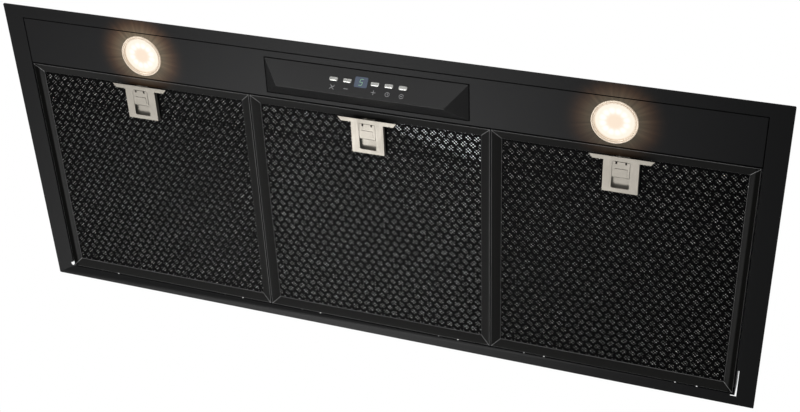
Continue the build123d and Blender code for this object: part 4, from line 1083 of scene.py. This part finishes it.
# ---- control pod ------------------------------------------------------------------------------
@dataclass
class ControlPod:
    """Wedge-shaped pod with its buttons, window and marks."""

    edge: float = 0.45 * MM
    cap_edge: float = 0.3 * MM
    cap_proud: float = 0.9 * MM
    stroke: float = 0.45 * MM
    mark: float = 4.5 * MM
    mark_drop: float = 9.0 * MM
    mark_lift: float = 0.05 * MM
    digit_w: float = 3.4 * MM
    digit_h: float = 6.6 * MM
    digit_lean: float = 0.9 * MM
    digit_stroke: float = 0.40 * MM
    foot_shadow_w: float = 0.8 * MM
    foot_shadow_t: float = 0.12 * MM

    def slope(self, node: str) -> Matrix:
        """The plane of a piece's face on the pod's front slope.

        Args:
            node: the CAD node.

        Returns:
            The plane, centred on the face; x runs right, y down the slope.
        """
        out = Vector((0, -1, -1)).normalized()
        down = Vector((0, 1, -1)).normalized()
        verts = [vert.co for vert in frame["nodes"][node].data.vertices]
        face = max(vert.dot(out) for vert in verts)
        top = [vert for vert in verts if vert.dot(out) > face - 0.01 * MM]
        turn = Matrix((Vector((1, 0, 0)), down, out)).transposed().to_4x4()
        return Matrix.Translation(sum(top, Vector()) / len(top)) @ turn

    def strokes(self, name: str, plane: Matrix, paths: Sequence[Sequence[Point]],
                width: float) -> bpy.types.Object:
        """Lay thin raised strokes on a plane.

        Args:
            name: the piece's name.
            plane: the face they lie on; x runs right, y down the slope.
            paths: runs of points on that face.
            width: the strokes' width.

        Returns:
            The new piece.
        """
        shape = bmesh.new()
        for path in paths:
            for (x0, y0), (x1, y1) in zip(path, path[1:]):
                run = Vector((x1 - x0, y1 - y0))
                along = run.normalized() * width * 0.3
                aside = Vector((-run.y, run.x)).normalized() * width / 2
                start, end = Vector((x0, y0)) - along, Vector((x1, y1)) + along
                corners = [start - aside, end - aside, end + aside, start + aside]
                low, high = ([shape.verts.new(plane @ Vector((*corner, lift)))
                              for corner in corners]
                             for lift in (-self.mark_lift, self.mark_lift))
                shape.faces.new(high)
                shape.faces.new(list(reversed(low)))
                bridge(shape, (low, high), closed=False)
        return from_bmesh(name, shape)

    def ring(self, start: float = 0.0, end: float = 360.0, steps: int = 20) -> list[Point]:
        """Points on an arc round the mark's centre.

        Args:
            start: where it starts, in degrees.
            end: where it ends.
            steps: straight runs along it.

        Returns:
            The points.
        """
        angles = [math.radians(start + (end - start) * i / steps) for i in range(steps + 1)]
        return [(self.mark / 2 * math.cos(a), self.mark / 2 * math.sin(a)) for a in angles]

    def fan(self) -> list[list[Point]]:
        """A fan of four bent blades.

        Returns:
            Each blade's run of points.
        """
        half = self.mark / 2
        blades = []
        for quarter in range(4):
            angle = math.radians(45 + 90 * quarter)
            blades.append([(0.0, 0.0)] + [
                (half * reach * math.cos(angle + turn), half * reach * math.sin(angle + turn))
                for reach, turn in ((0.75, 0.4), (1.4, 0.0))])
        return blades

    def marks(self) -> dict[int, list[list[Point]]]:
        """The sign under each button: fan, less, more, clock and light.

        Returns:
            Each button's number with its sign's runs of points.
        """
        half = self.mark / 2
        dash = [(-half, 0.0), (half, 0.0)]
        return {1: self.fan(), 2: [dash], 3: [dash, [(0.0, -half), (0.0, half)]],
                4: [self.ring(), [(0.0, -half * 0.6), (0.0, 0.0), (half * 0.45, half * 0.2)]],
                5: [self.ring(20.0, 340.0), [(-half * 0.4, 0.0), (half * 0.4, 0.0)]]}

    def digit(self) -> bpy.types.Object:
        """A leaning figure five of plain bars.

        Returns:
            The new piece.
        """
        w, h, lean = self.digit_w / 2, self.digit_h / 2, self.digit_lean
        gap = self.digit_stroke * 0.35
        corners = {"tl": (-w + lean, -h), "tr": (w + lean, -h), "ml": (-w, 0.0), "mr": (w, 0.0),
                   "bl": (-w - lean, h), "br": (w - lean, h)}
        bars = []
        for near, far in (("tl", "tr"), ("tl", "ml"), ("ml", "mr"), ("mr", "br"), ("bl", "br")):
            start, end = Vector(corners[near]), Vector(corners[far])
            step = (end - start).normalized() * gap * 2
            bars.append([tuple(start + step), tuple(end - step)])
        return self.strokes("display_digit", self.slope("display_window"), bars,
                            self.digit_stroke)

    def foot_shadow(self) -> None:
        """Lay a thin near-black band round the pod's foot, a painted shadow."""
        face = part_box("control_strip")[0].z
        ring = flat_band("pod_foot_shadow", *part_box("control_pod"), self.foot_shadow_w, self.foot_shadow_w, face,
                         self.foot_shadow_t)
        settle(ring, POD_FOOT_SHADOW, "hood")

    def build(self) -> None:
        """Make the pod, its caps, its window and its marks."""
        softened("control_pod", "pod_shell", POD_PLASTIC, self.edge, 3)
        self.foot_shadow()
        for number, paths in self.marks().items():
            node = f"button_{number}"
            softened(node, f"{node}_cap", SILVER, self.cap_edge, 3)
            plane = self.slope(node) @ Matrix.Translation((0, self.mark_drop, -self.cap_proud))
            mark = self.strokes(f"pod_mark_{number}", plane, paths, self.stroke)
            settle(mark, MARK, "hood")
        softened("display_window", "window_pane", WINDOW)
        settle(self.digit(), DIGIT, "hood")
        dress(BLOCK, "digit_module", "key_switches")
        dress(BOARD, "control_board")


# ---- lamps ------------------------------------------------------------------------------------
@dataclass
class Lamp:
    """One round lamp: turned double rim and frosted lens.

    The rim's outline is given as steps in from its edge, with the share of its crest that
    each stands out by.
    """

    side: str
    crest: float = 1.5 * MM
    wall: float = 1.4 * MM
    fit: float = 0.2 * MM
    dome: float = 0.25 * MM
    lens_edge: float = 0.4 * MM
    lens_rise: float = 0.35 * MM
    outline: Sequence[Point] = (
        (0.0, 0.0), (0.0, 0.50), (0.25 * MM, 0.83), (0.65 * MM, 0.97), (1.05 * MM, 0.97),
        (1.40 * MM, 0.80), (1.62 * MM, 0.30), (2.00 * MM, 0.28), (2.20 * MM, 0.60),
        (2.50 * MM, 0.78), (2.90 * MM, 0.76), (3.25 * MM, 0.52))

    def build(self) -> None:
        """Turn the rim and the lens in place."""
        name = f"lamp_{self.side}"
        rim_low, rim_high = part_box(f"{name}_rim")
        lens_low, lens_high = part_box(f"{name}_lens")
        centre, radius = round_box(f"{name}_rim")
        lens_r = round_box(f"{name}_lens")[1]
        face = rim_low.z + self.crest
        foot = Vector((centre.x, centre.y, face))
        bore = lens_r + self.fit
        top = rim_high.z - face
        profile = [(radius - step, -share * self.crest) for step, share in self.outline]
        profile += [(bore, -0.10 * self.crest), (bore, top), (bore + self.wall, top),
                    (bore + self.wall, 0.0)]
        settle(lathe(f"{name}_ring", profile, foot), RIM_METAL, "hood", f"{name}_rim")
        low, high = lens_low.z - face, lens_high.z - face
        disc = [(0.0, low), (lens_r * 0.35, low + self.dome * 0.12),
                (lens_r * 0.7, low + self.dome * 0.5), (lens_r - self.lens_edge, low + self.dome),
                (lens_r, low + self.dome + self.lens_rise), (lens_r, high), (0.0, high)]
        settle(lathe(f"{name}_glass", disc, foot), LENS, "hood", f"{name}_lens")
        dress(LED_BOARD, f"{name}_board")
        dress(SINK, f"{name}_heat_sink")


# ---- grease filters ---------------------------------------------------------------------------
@dataclass(frozen=True)
class Knit:
    """Inner layer of stretched wire: its cell, wire, flattened knots and height."""

    cell_w: float = 3.7 * MM
    cell_d: float = 3.6 * MM
    wire: float = 0.36 * MM
    height: float = 5.35 * MM
    tilt: float = 0.5
    knot_l: float = 2.1 * MM
    knot_w: float = 0.85 * MM
    knot_h: float = 0.40 * MM
    knot_turn: float = 38.0
    latch_half: float = 19.0 * MM
    latch_rear: float = -66.0 * MM


@dataclass(frozen=True)
class Pad:
    """Fine pleated cloth in front of the back sheet."""

    pleats: int = 64
    wave: float = 0.12 * MM
    sheet: float = 0.14 * MM
    height: float = 6.32 * MM


@dataclass(frozen=True)
class Perforation:
    """Staggered round holes of the front screen, each with a drawn-in rim."""

    columns: int = 27
    rows: int = 36
    hole_r: float = 3.38 * MM
    rim: float = 0.30 * MM
    dish: float = 0.16 * MM
    sides: int = 16
    clear_half: float = 12 * MM
    clear_rear: float = -70 * MM

    def cell(self, pitch_x: float, pitch_y: float) -> bpy.types.Mesh:
        """One cell of the pattern as a skin, sunk at the hole's rim.

        Args:
            pitch_x: the cell's width.
            pitch_y: the cell's depth.

        Returns:
            The cell's mesh, round the origin, facing up.
        """
        shape = bmesh.new()
        border = ((1, 0), (1, 1), (0, 1), (-1, 1), (-1, 0), (-1, -1), (0, -1), (1, -1))
        outer = [shape.verts.new((x * pitch_x / 2, y * pitch_y / 2, 0)) for x, y in border]
        wide = circle(shape, self.hole_r + self.rim, 0.0, self.sides)
        hole = circle(shape, self.hole_r, self.dish, self.sides)
        for side, corner in enumerate(outer):
            run = [wide[(2 * side + step) % self.sides] for step in (2, 1, 0)]
            shape.faces.new([corner, outer[(side + 1) % 8], *run])
        bridge(shape, (wide, hole), closed=False)
        return to_mesh("screen_cell", shape)


def knotted_field() -> Tree:
    """The tree that sets a flattened knot on every crossing of the wire layer.

    Returns:
        The tree.
    """
    tree = Tree("knotted_field", "width depth cell_w cell_d knot_l knot_w knot_h turn")
    entry = tree.entry
    half_w = tree.times(entry["cell_w"], 0.5)
    half_d = tree.times(entry["cell_d"], 0.5)
    columns = tree.math("FLOOR", tree.math("DIVIDE", entry["width"], entry["cell_w"]))
    rows = tree.math("FLOOR", tree.math("DIVIDE", entry["depth"], half_d))
    index = tree.index()
    row = tree.math("FLOOR", tree.math("DIVIDE", index, columns))
    east = tree.times(tree.math("MODULO", index, columns), entry["cell_w"])
    shift = tree.times(tree.math("MODULO", row, 2.0), half_w)
    spot = tree.arrow(tree.math("ADD", tree.math("ADD", east, shift), half_w),
                      tree.times(tree.math("ADD", row, 1.0), half_d))
    places = tree.move(tree.line(tree.times(columns, rows)), Position=spot)
    knot = tree.first("GeometryNodeMeshCone", {"Vertices": 4, "Radius Top": 0.0,
                                               "Radius Bottom": 0.5, "Depth": 1.0})
    size = tree.arrow(entry["knot_l"], entry["knot_w"], tree.times(entry["knot_h"], -1.0))
    flat = tree.first("GeometryNodeTransform", {0: knot, "Scale": size})
    right = tree.first("GeometryNodeFlipFaces", {0: flat})
    wobble = tree.add("FunctionNodeRandomValue", {"Seed": 7, 2: -0.3, 3: 0.3},
                      data_type="FLOAT").outputs[1]
    spin = tree.arrow(z=tree.math("ADD", entry["turn"], wobble))
    tree.close(tree.repeat(places, right, Rotation=spin))
    return tree


def pierced_sheet() -> Tree:
    """The tree that lays hole cells in staggered rows and makes one closed sheet of them.

    Returns:
        The tree.
    """
    tree = Tree("pierced_sheet", "pitch_x pitch_y sheet clear_half clear_rear", "columns rows",
                "cell")
    entry = tree.entry
    columns, pitch_x, pitch_y = entry["columns"], entry["pitch_x"], entry["pitch_y"]
    index = tree.index()
    row = tree.math("FLOOR", tree.math("DIVIDE", index, columns))
    column = tree.math("MODULO", index, columns)
    odd = tree.math("MODULO", row, 2.0)
    middle = tree.math("MULTIPLY_ADD", columns, 0.5, -0.5)
    east = tree.math("SUBTRACT", tree.math("MULTIPLY_ADD", odd, 0.5, column), middle)
    spot = tree.arrow(tree.times(east, pitch_x),
                      tree.times(tree.math("ADD", row, 0.5), pitch_y))
    places = tree.move(tree.line(tree.times(columns, entry["rows"])), Position=spot)
    spare = tree.times(tree.math("GREATER_THAN", column,
                                 tree.math("SUBTRACT", columns, 1.5)), odd)
    x, y, _ = tree.place()
    near = tree.math("LESS_THAN", tree.math("ABSOLUTE", x), entry["clear_half"])
    front = tree.math("LESS_THAN", y, entry["clear_rear"])
    for cleared in (spare, tree.times(near, front)):
        places = tree.first("GeometryNodeDeleteGeometry", {0: places, "Selection": cleared})
    blank = tree.first("GeometryNodeMeshGrid", {
        "Size X": tree.times(pitch_x, 0.5), "Size Y": pitch_y, "Vertices X": 2,
        "Vertices Y": 3})
    skins = [tree.repeat(places, entry["cell"])]
    step = tree.arrow(y=tree.times(pitch_y, 2.0))
    reach = tree.times(tree.math("MULTIPLY_ADD", columns, 0.5, -0.25), pitch_x)
    for side in (-1.0, 1.0):
        start = tree.arrow(tree.times(reach, side), tree.times(pitch_y, 1.5))
        ends = tree.line(tree.times(entry["rows"], 0.5),
                         **{"Start Location": start, "Offset": step})
        skins.append(tree.repeat(ends, blank))
    tree.close(tree.thicken(tree.weld(tree.real(tree.join(*skins))), entry["sheet"]))
    return tree


def pleated_pad() -> Tree:
    """The tree that folds a rectangle of cloth into shallow pleats.

    Returns:
        The tree.
    """
    tree = Tree("pleated_pad", "width depth wave sheet", "pleats")
    entry = tree.entry
    cloth = tree.first("GeometryNodeMeshGrid", {
        "Size X": entry["width"], "Size Y": entry["depth"], "Vertices Y": 2,
        "Vertices X": tree.math("MULTIPLY_ADD", entry["pleats"], 4.0, 1.0)})
    share = tree.math("DIVIDE", tree.place()[0], entry["width"])
    turn = tree.times(share, entry["pleats"], 2 * math.pi)
    lift = tree.arrow(z=tree.times(tree.math("SINE", turn), entry["wave"]))
    tree.close(tree.thicken(tree.move(cloth, Offset=lift), entry["sheet"]))
    return tree


def stretched_metal() -> Tree:
    """The tree that weaves diamonds of zigzag strands over a rectangle.

    Returns:
        The tree.
    """
    tree = Tree("stretched_metal", "width depth cell_w cell_d wire tilt")
    entry = tree.entry
    half_w = tree.times(entry["cell_w"], 0.5)
    half_d = tree.times(entry["cell_d"], 0.5)
    steps = tree.math("FLOOR", tree.math("DIVIDE", entry["width"], half_w))
    rows = tree.math("FLOOR", tree.math("DIVIDE", entry["depth"], half_d))
    odd = tree.math("MODULO", tree.index(), 2.0)
    zigzag = tree.move(tree.line(steps, Offset=tree.arrow(half_w)),
                       Offset=tree.arrow(y=tree.times(odd, half_d)))
    curve = tree.first("GeometryNodeMeshToCurve", {0: zigzag})
    flat = tree.first("GeometryNodeSetCurveNormal", {0: curve}, mode="Z_UP")
    tilted = tree.first("GeometryNodeSetCurveTilt", {0: flat, "Tilt": entry["tilt"]})
    section = tree.first("GeometryNodeCurvePrimitiveCircle", {
        "Resolution": 3, "Radius": tree.times(entry["wire"], 0.5)}, mode="RADIUS")
    strand = tree.first("GeometryNodeCurveToMesh", {0: tilted, 1: section, "Fill Caps": True})
    places = tree.move(tree.line(rows, Offset=tree.arrow(y=half_d)),
                       Offset=tree.arrow(tree.times(odd, half_w)))
    tree.close(tree.repeat(places, strand))
    return tree


@dataclass
class GreaseFilter:
    """One filter: mitred frame, pierced screen, knit, cloth, back sheet and latch."""

    number: int
    weave: Tree
    knot: Tree
    pierce: Tree
    pleat: Tree
    edge: float = 0.25 * MM
    groove_w: float = 0.35 * MM
    groove_d: float = 0.30 * MM
    groove_from: float = 0.5 * MM
    groove_to: float = 20 * MM
    front: float = 4 * MM
    inset: float = 0.6 * MM
    plate_edge: float = 0.15 * MM
    tongue_edge: float = 0.3 * MM

    @property
    def body(self) -> str:
        """The filter's CAD body."""
        return f"filter_{self.number}"

    def node(self, piece: str) -> str:
        """The CAD name of one of the filter's pieces."""
        return f"{self.body}_{piece}"

    def mitre(self, shape: Shape, corner: Vector, side_x: int, side_y: int) -> None:
        """Sink a fine groove along one corner's mitre, its faces in the lighter paint of a painted
        highlight.

        Args:
            shape: the frame, changed in place.
            corner: the frame's outer corner, on its face.
            side_x: -1 for a left corner and 1 for a right one.
            side_y: -1 for a front corner and 1 for a rear one.
        """
        across = Vector((side_x, -side_y, 0)).normalized()
        inward = Vector((-side_x, -side_y, 0)).normalized()
        for offset in (-self.groove_w, 0.0, self.groove_w):
            bmesh.ops.bisect_plane(shape, geom=[*shape.verts, *shape.edges, *shape.faces],
                                   dist=HAIR / 10, plane_co=corner + across * offset,
                                   plane_no=across)
        for vert in shape.verts:
            offset = vert.co - corner
            if (abs(offset.dot(across)) < HAIR and vert.normal.z < -0.5
                    and self.groove_from < offset.dot(inward) < self.groove_to
                    and offset.z < self.front):
                vert.co.z += self.groove_d
        # the groove's faces take slot 1, the lighter paint of the painted highlight
        for face in shape.faces:
            offset = face.calc_center_median() - corner
            if (abs(offset.dot(across)) < self.groove_w and face.normal.z < -0.3
                    and self.groove_from < offset.dot(inward) < self.groove_to):
                face.material_index = 1

    def rim(self) -> None:
        """Make the frame with a fine groove along each corner's mitre; rounded edges and grooves take a
        lighter paint as a painted highlight.
        """
        low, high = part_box(self.node("frame"))
        mesh_low, mesh_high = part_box(self.node("mesh"))
        centre = (mesh_low + mesh_high) / 2
        half_w = (high.x - low.x) / 2
        half_d = half_w - (mesh_high.x - mesh_low.x) / 2 + (mesh_high.y - mesh_low.y) / 2
        shape = merged(self.node("frame"))
        # the rounded edges take slot 1, the lighter paint of the painted highlight
        ease_edges(shape, self.edge, edge_slot=1)
        for side_x in (-1, 1):
            for side_y in (-1, 1):
                corner = Vector((centre.x + side_x * half_w, centre.y + side_y * half_d, low.z))
                self.mitre(shape, corner, side_x, side_y)
        piece = from_bmesh(f"{self.body}_rim", shape)
        for finish in (FRAME_PAINT, EDGE_HIGHLIGHT_PAINT):
            piece.data.materials.append(finish.build())
        settle(piece, FRAME_PAINT, self.body, self.node("frame"))

    def screen(self, holes: Perforation) -> None:
        """Make the pierced front screen in place of the CAD's.

        Args:
            holes: its pattern of holes.
        """
        low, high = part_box(self.node("mesh"))
        pitch_x = (high.x - low.x) / holes.columns
        pitch_y = (high.y - low.y) / holes.rows
        piece = self.pierce.grow(f"{self.body}_screen", holes.cell(pitch_x, pitch_y),
                                 columns=holes.columns, rows=holes.rows, pitch_x=pitch_x,
                                 pitch_y=pitch_y, sheet=high.z - low.z - holes.dish,
                                 clear_half=holes.clear_half,
                                 clear_rear=holes.clear_rear - low.y,
                                 finish=SCREEN_PAINT.build())
        piece.data.transform(Matrix.Translation(((low.x + high.x) / 2, low.y, low.z)))
        settle(piece, SCREEN_PAINT, self.body, self.node("mesh"))

    def knit(self, knit: Knit) -> None:
        """Weave the inner wire layer, with its knots, round the latch.

        Args:
            knit: its cell, wire and knots.
        """
        low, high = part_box(self.node("mesh"))
        west, east = low.x + self.inset, high.x - self.inset
        south, north = low.y + self.inset, high.y - self.inset
        left, right = ((low.x + high.x) / 2 + side * knit.latch_half for side in (-1, 1))
        # each filter's knots take their own copy of the finish, with a different level of painted light
        finish = (KNOT_PAINTED_BRIGHT, KNOT_LIT, KNOT)[self.number - 1]
        turn = math.radians(-knit.knot_turn if self.number == 1 else knit.knot_turn)
        woven, knots = [], []
        for count, (x0, x1, y0, y1) in enumerate((
                (west, left, south, knit.latch_rear), (right, east, south, knit.latch_rear),
                (west, east, knit.latch_rear, north))):
            size = {"width": x1 - x0, "depth": y1 - y0, "cell_w": knit.cell_w,
                    "cell_d": knit.cell_d}
            woven.append(self.weave.grow(f"knit_{count}", wire=knit.wire, tilt=knit.tilt,
                                         finish=KNIT_WIRE.build(), **size))
            knots.append(self.knot.grow(f"knots_{count}", knot_l=knit.knot_l,
                                        knot_w=knit.knot_w, knot_h=knit.knot_h, turn=turn,
                                        finish=finish.build(), **size))
            for part, height in ((woven[-1], knit.height), (knots[-1], knit.height - knit.wire)):
                part.data.transform(Matrix.Translation((x0, y0, height)))
        settle(joined(f"{self.body}_knit", woven), KNIT_WIRE, self.body)
        settle(joined(f"{self.body}_knots", knots), finish, self.body)

    def pad(self, pad: Pad) -> None:
        """Lay the fine cloth in front of the back sheet.

        Args:
            pad: its pleats.
        """
        low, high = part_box(self.node("mesh"))
        piece = self.pleat.grow(f"{self.body}_cloth", width=high.x - low.x - self.inset,
                                depth=high.y - low.y - self.inset, pleats=pad.pleats,
                                wave=pad.wave, sheet=pad.sheet, finish=BACK_CLOTH.build())
        centre = (low + high) / 2
        piece.data.transform(Matrix.Translation((centre.x, centre.y, pad.height)))
        smooth(piece.data)
        settle(piece, BACK_CLOTH, self.body)

    def build(self) -> None:
        """Make the frame, the layers and the latch."""
        self.rim()
        self.screen(Perforation())
        self.knit(Knit())
        self.pad(Pad())
        dress(BACK_SHEET, self.node("back"))
        softened(self.node("latch_plate"), f"{self.body}_latch", NICKEL, self.plate_edge)
        # the tongue's rounded edges take the dark slit paint, a painted shade
        softened(self.node("latch_tongue"), f"latch_{self.number}_tongue", NICKEL,
                 self.tongue_edge, edge=SLIT_SHADE)


# ---- what stands behind the face --------------------------------------------------------------
@dataclass
class Housing:
    """Housing, blower box, dividers and clips of galvanised sheet."""

    edge: float = 0.5 * MM

    def build(self) -> None:
        """Soften the two boxes and dress the rest."""
        softened("housing", "housing_sheet", ZINC, self.edge)
        softened("blower_box", "blower_cover", ZINC, self.edge)
        dress(ZINC, "divider_left", "divider_right")
        dress(STEEL, "cabinet_clips")


@dataclass
class Blower:
    """Scroll, wheel, motor and its bracket."""

    def build(self) -> None:
        """Dress the blower's pieces."""
        dress(ZINC, "scroll_wrap", "scroll_side_left", "scroll_side_right", "motor_spider")
        dress(WHEEL, "wheel_disc", "wheel_blades", "wheel_rings")
        dress(STEEL, "motor_shaft")
        dress(MOTOR_COAT, "motor")
        dress(RUBBER, "rubber_bushes")


@dataclass
class Outlet:
    """Duct collar with its pin and flaps."""

    edge: float = 0.35 * MM

    def build(self) -> None:
        """Soften the collar and dress the flaps."""
        softened("duct_collar", "collar_moulding", COLLAR, self.edge)
        dress(FLAP, "flap_front", "flap_rear")
        dress(STEEL, "flap_pin")


@dataclass
class Electrics:
    """Case, gland, lamp supply and capacitor on the deck."""

    case_edge: float = 0.4 * MM
    lid_edge: float = 0.5 * MM
    gland_edge: float = 0.3 * MM

    def build(self) -> None:
        """Soften the mouldings and dress the capacitor and the screws."""
        softened("electronics_case", "case_tray", CASE, self.case_edge)
        softened("electronics_lid", "case_lid", CASE, self.lid_edge, 3)
        softened("cable_gland", "gland_moulding", COLLAR, self.gland_edge)
        softened("lamp_driver", "lamp_supply", CASE, self.lid_edge)
        dress(SINK, "run_capacitor")
        dress(SCREW, "blower_screws")


# ---- studio -----------------------------------------------------------------------------------
@dataclass
class Softbox:
    """One soft area lamp."""

    name: str
    place: Triple
    aim: Triple
    size: float
    power: float

    def build(self) -> None:
        """Hang the lamp and turn it to what it lights."""
        light = bpy.data.lights.new(self.name, "AREA")
        light.shape = "SQUARE"
        light.size = self.size
        light.energy = self.power
        lamp = bpy.data.objects.new(self.name, light)
        lamp.location = self.place
        lamp.rotation_euler = (Vector(self.aim) - Vector(self.place)).to_track_quat(
            "-Z", "Y").to_euler()
        lamp.visible_camera = False
        bpy.context.scene.collection.objects.link(lamp)
        log.info("hung %s", self.name)


@dataclass
class Studio:
    """Camera, white surround, pale floor and soft lamps."""

    eye: Triple = (0.472392, -0.804000, -1.146446)
    turn_deg: Triple = (146.055, -19.636, 2.134)
    lens_mm: float = 60.696
    sensor_mm: float = 36.0
    sight: float = 200.0
    floor_z: float = -4.0
    floor_side: float = 60.0
    ambient: float = 0.62

    def camera(self) -> None:
        """Stand the camera where the photograph was taken from."""
        data = bpy.data.cameras.new("camera")
        data.lens = self.lens_mm
        data.sensor_width = self.sensor_mm
        data.clip_end = self.sight
        holder = bpy.data.objects.new("camera", data)
        holder.location = self.eye
        holder.rotation_euler = Euler([math.radians(a) for a in self.turn_deg])
        bpy.context.scene.collection.objects.link(holder)
        bpy.context.scene.camera = holder

    def surround(self) -> None:
        """Set a surround that is white to the camera, in gloss and through glass."""
        world = bpy.data.worlds.new("surround")
        bpy.context.scene.world = world
        world.use_nodes = True
        graph = Graph(world.node_tree)
        path = graph.add("ShaderNodeLightPath").outputs
        seen = graph.math("MAXIMUM", path["Is Camera Ray"], path["Is Glossy Ray"])
        seen = graph.math("MAXIMUM", seen, path["Is Transmission Ray"])
        back = world.node_tree.nodes["Background"]
        graph.plug(back.inputs["Color"], WHITE)
        graph.plug(back.inputs["Strength"], graph.math(
            "ADD", graph.times(seen, 1.0 - self.ambient), self.ambient))

    def floor(self) -> None:
        """Lay a pale floor far below the insert."""
        half = self.floor_side / 2
        shape = bmesh.new()
        corners = [(-half, -half), (half, -half), (half, half), (-half, half)]
        shape.faces.new([shape.verts.new((x, y, self.floor_z)) for x, y in corners])
        floor = new_object("floor", to_mesh("floor", shape))
        floor.data.materials.append(FLOOR.build())

    def build(self, lamps: Sequence[Softbox]) -> None:
        """Set up the view and every lamp.

        Args:
            lamps: the lamps to hang.
        """
        bpy.context.scene.view_settings.view_transform = "Standard"
        self.camera()
        self.surround()
        self.floor()
        for lamp in lamps:
            lamp.build()


LAMPS = (
    Softbox("soft_low_rear", (-1.3, 2.24, -3.2), (-0.1, 0.0, 0.0), 1.5, 75.0),
    Softbox("soft_low_front", (-1.7, -1.8, -2.1), (0.0, -0.1, 0.0), 1.2, 55.0),
    Softbox("soft_front_right", (0.6, -2.8, -1.4), (0.1, -0.1, 0.0), 1.0, 48.0),
    Softbox("soft_top", (-1.2, 1.4, 3.0), (0.0, 0.0, 0.1), 2.0, 60.0),
    Softbox("soft_right", (3.0, 1.2, 0.8), (0.0, 0.0, 0.1), 1.6, 35.0),
)


def main() -> None:
    """Build the dressed insert and its studio."""
    logging.basicConfig(level=logging.INFO, format="%(message)s")
    FacePlate().build()
    ControlPod().build()
    for side in ("left", "right"):
        Lamp(side).build()
    trees = (stretched_metal(), knotted_field(), pierced_sheet(), pleated_pad())
    for number in FILTERS:
        GreaseFilter(number, *trees).build()
    for assembly in (Housing(), Blower(), Outlet(), Electrics()):
        assembly.build()
    Studio().build(LAMPS)


if __name__ == "__main__":
    main()
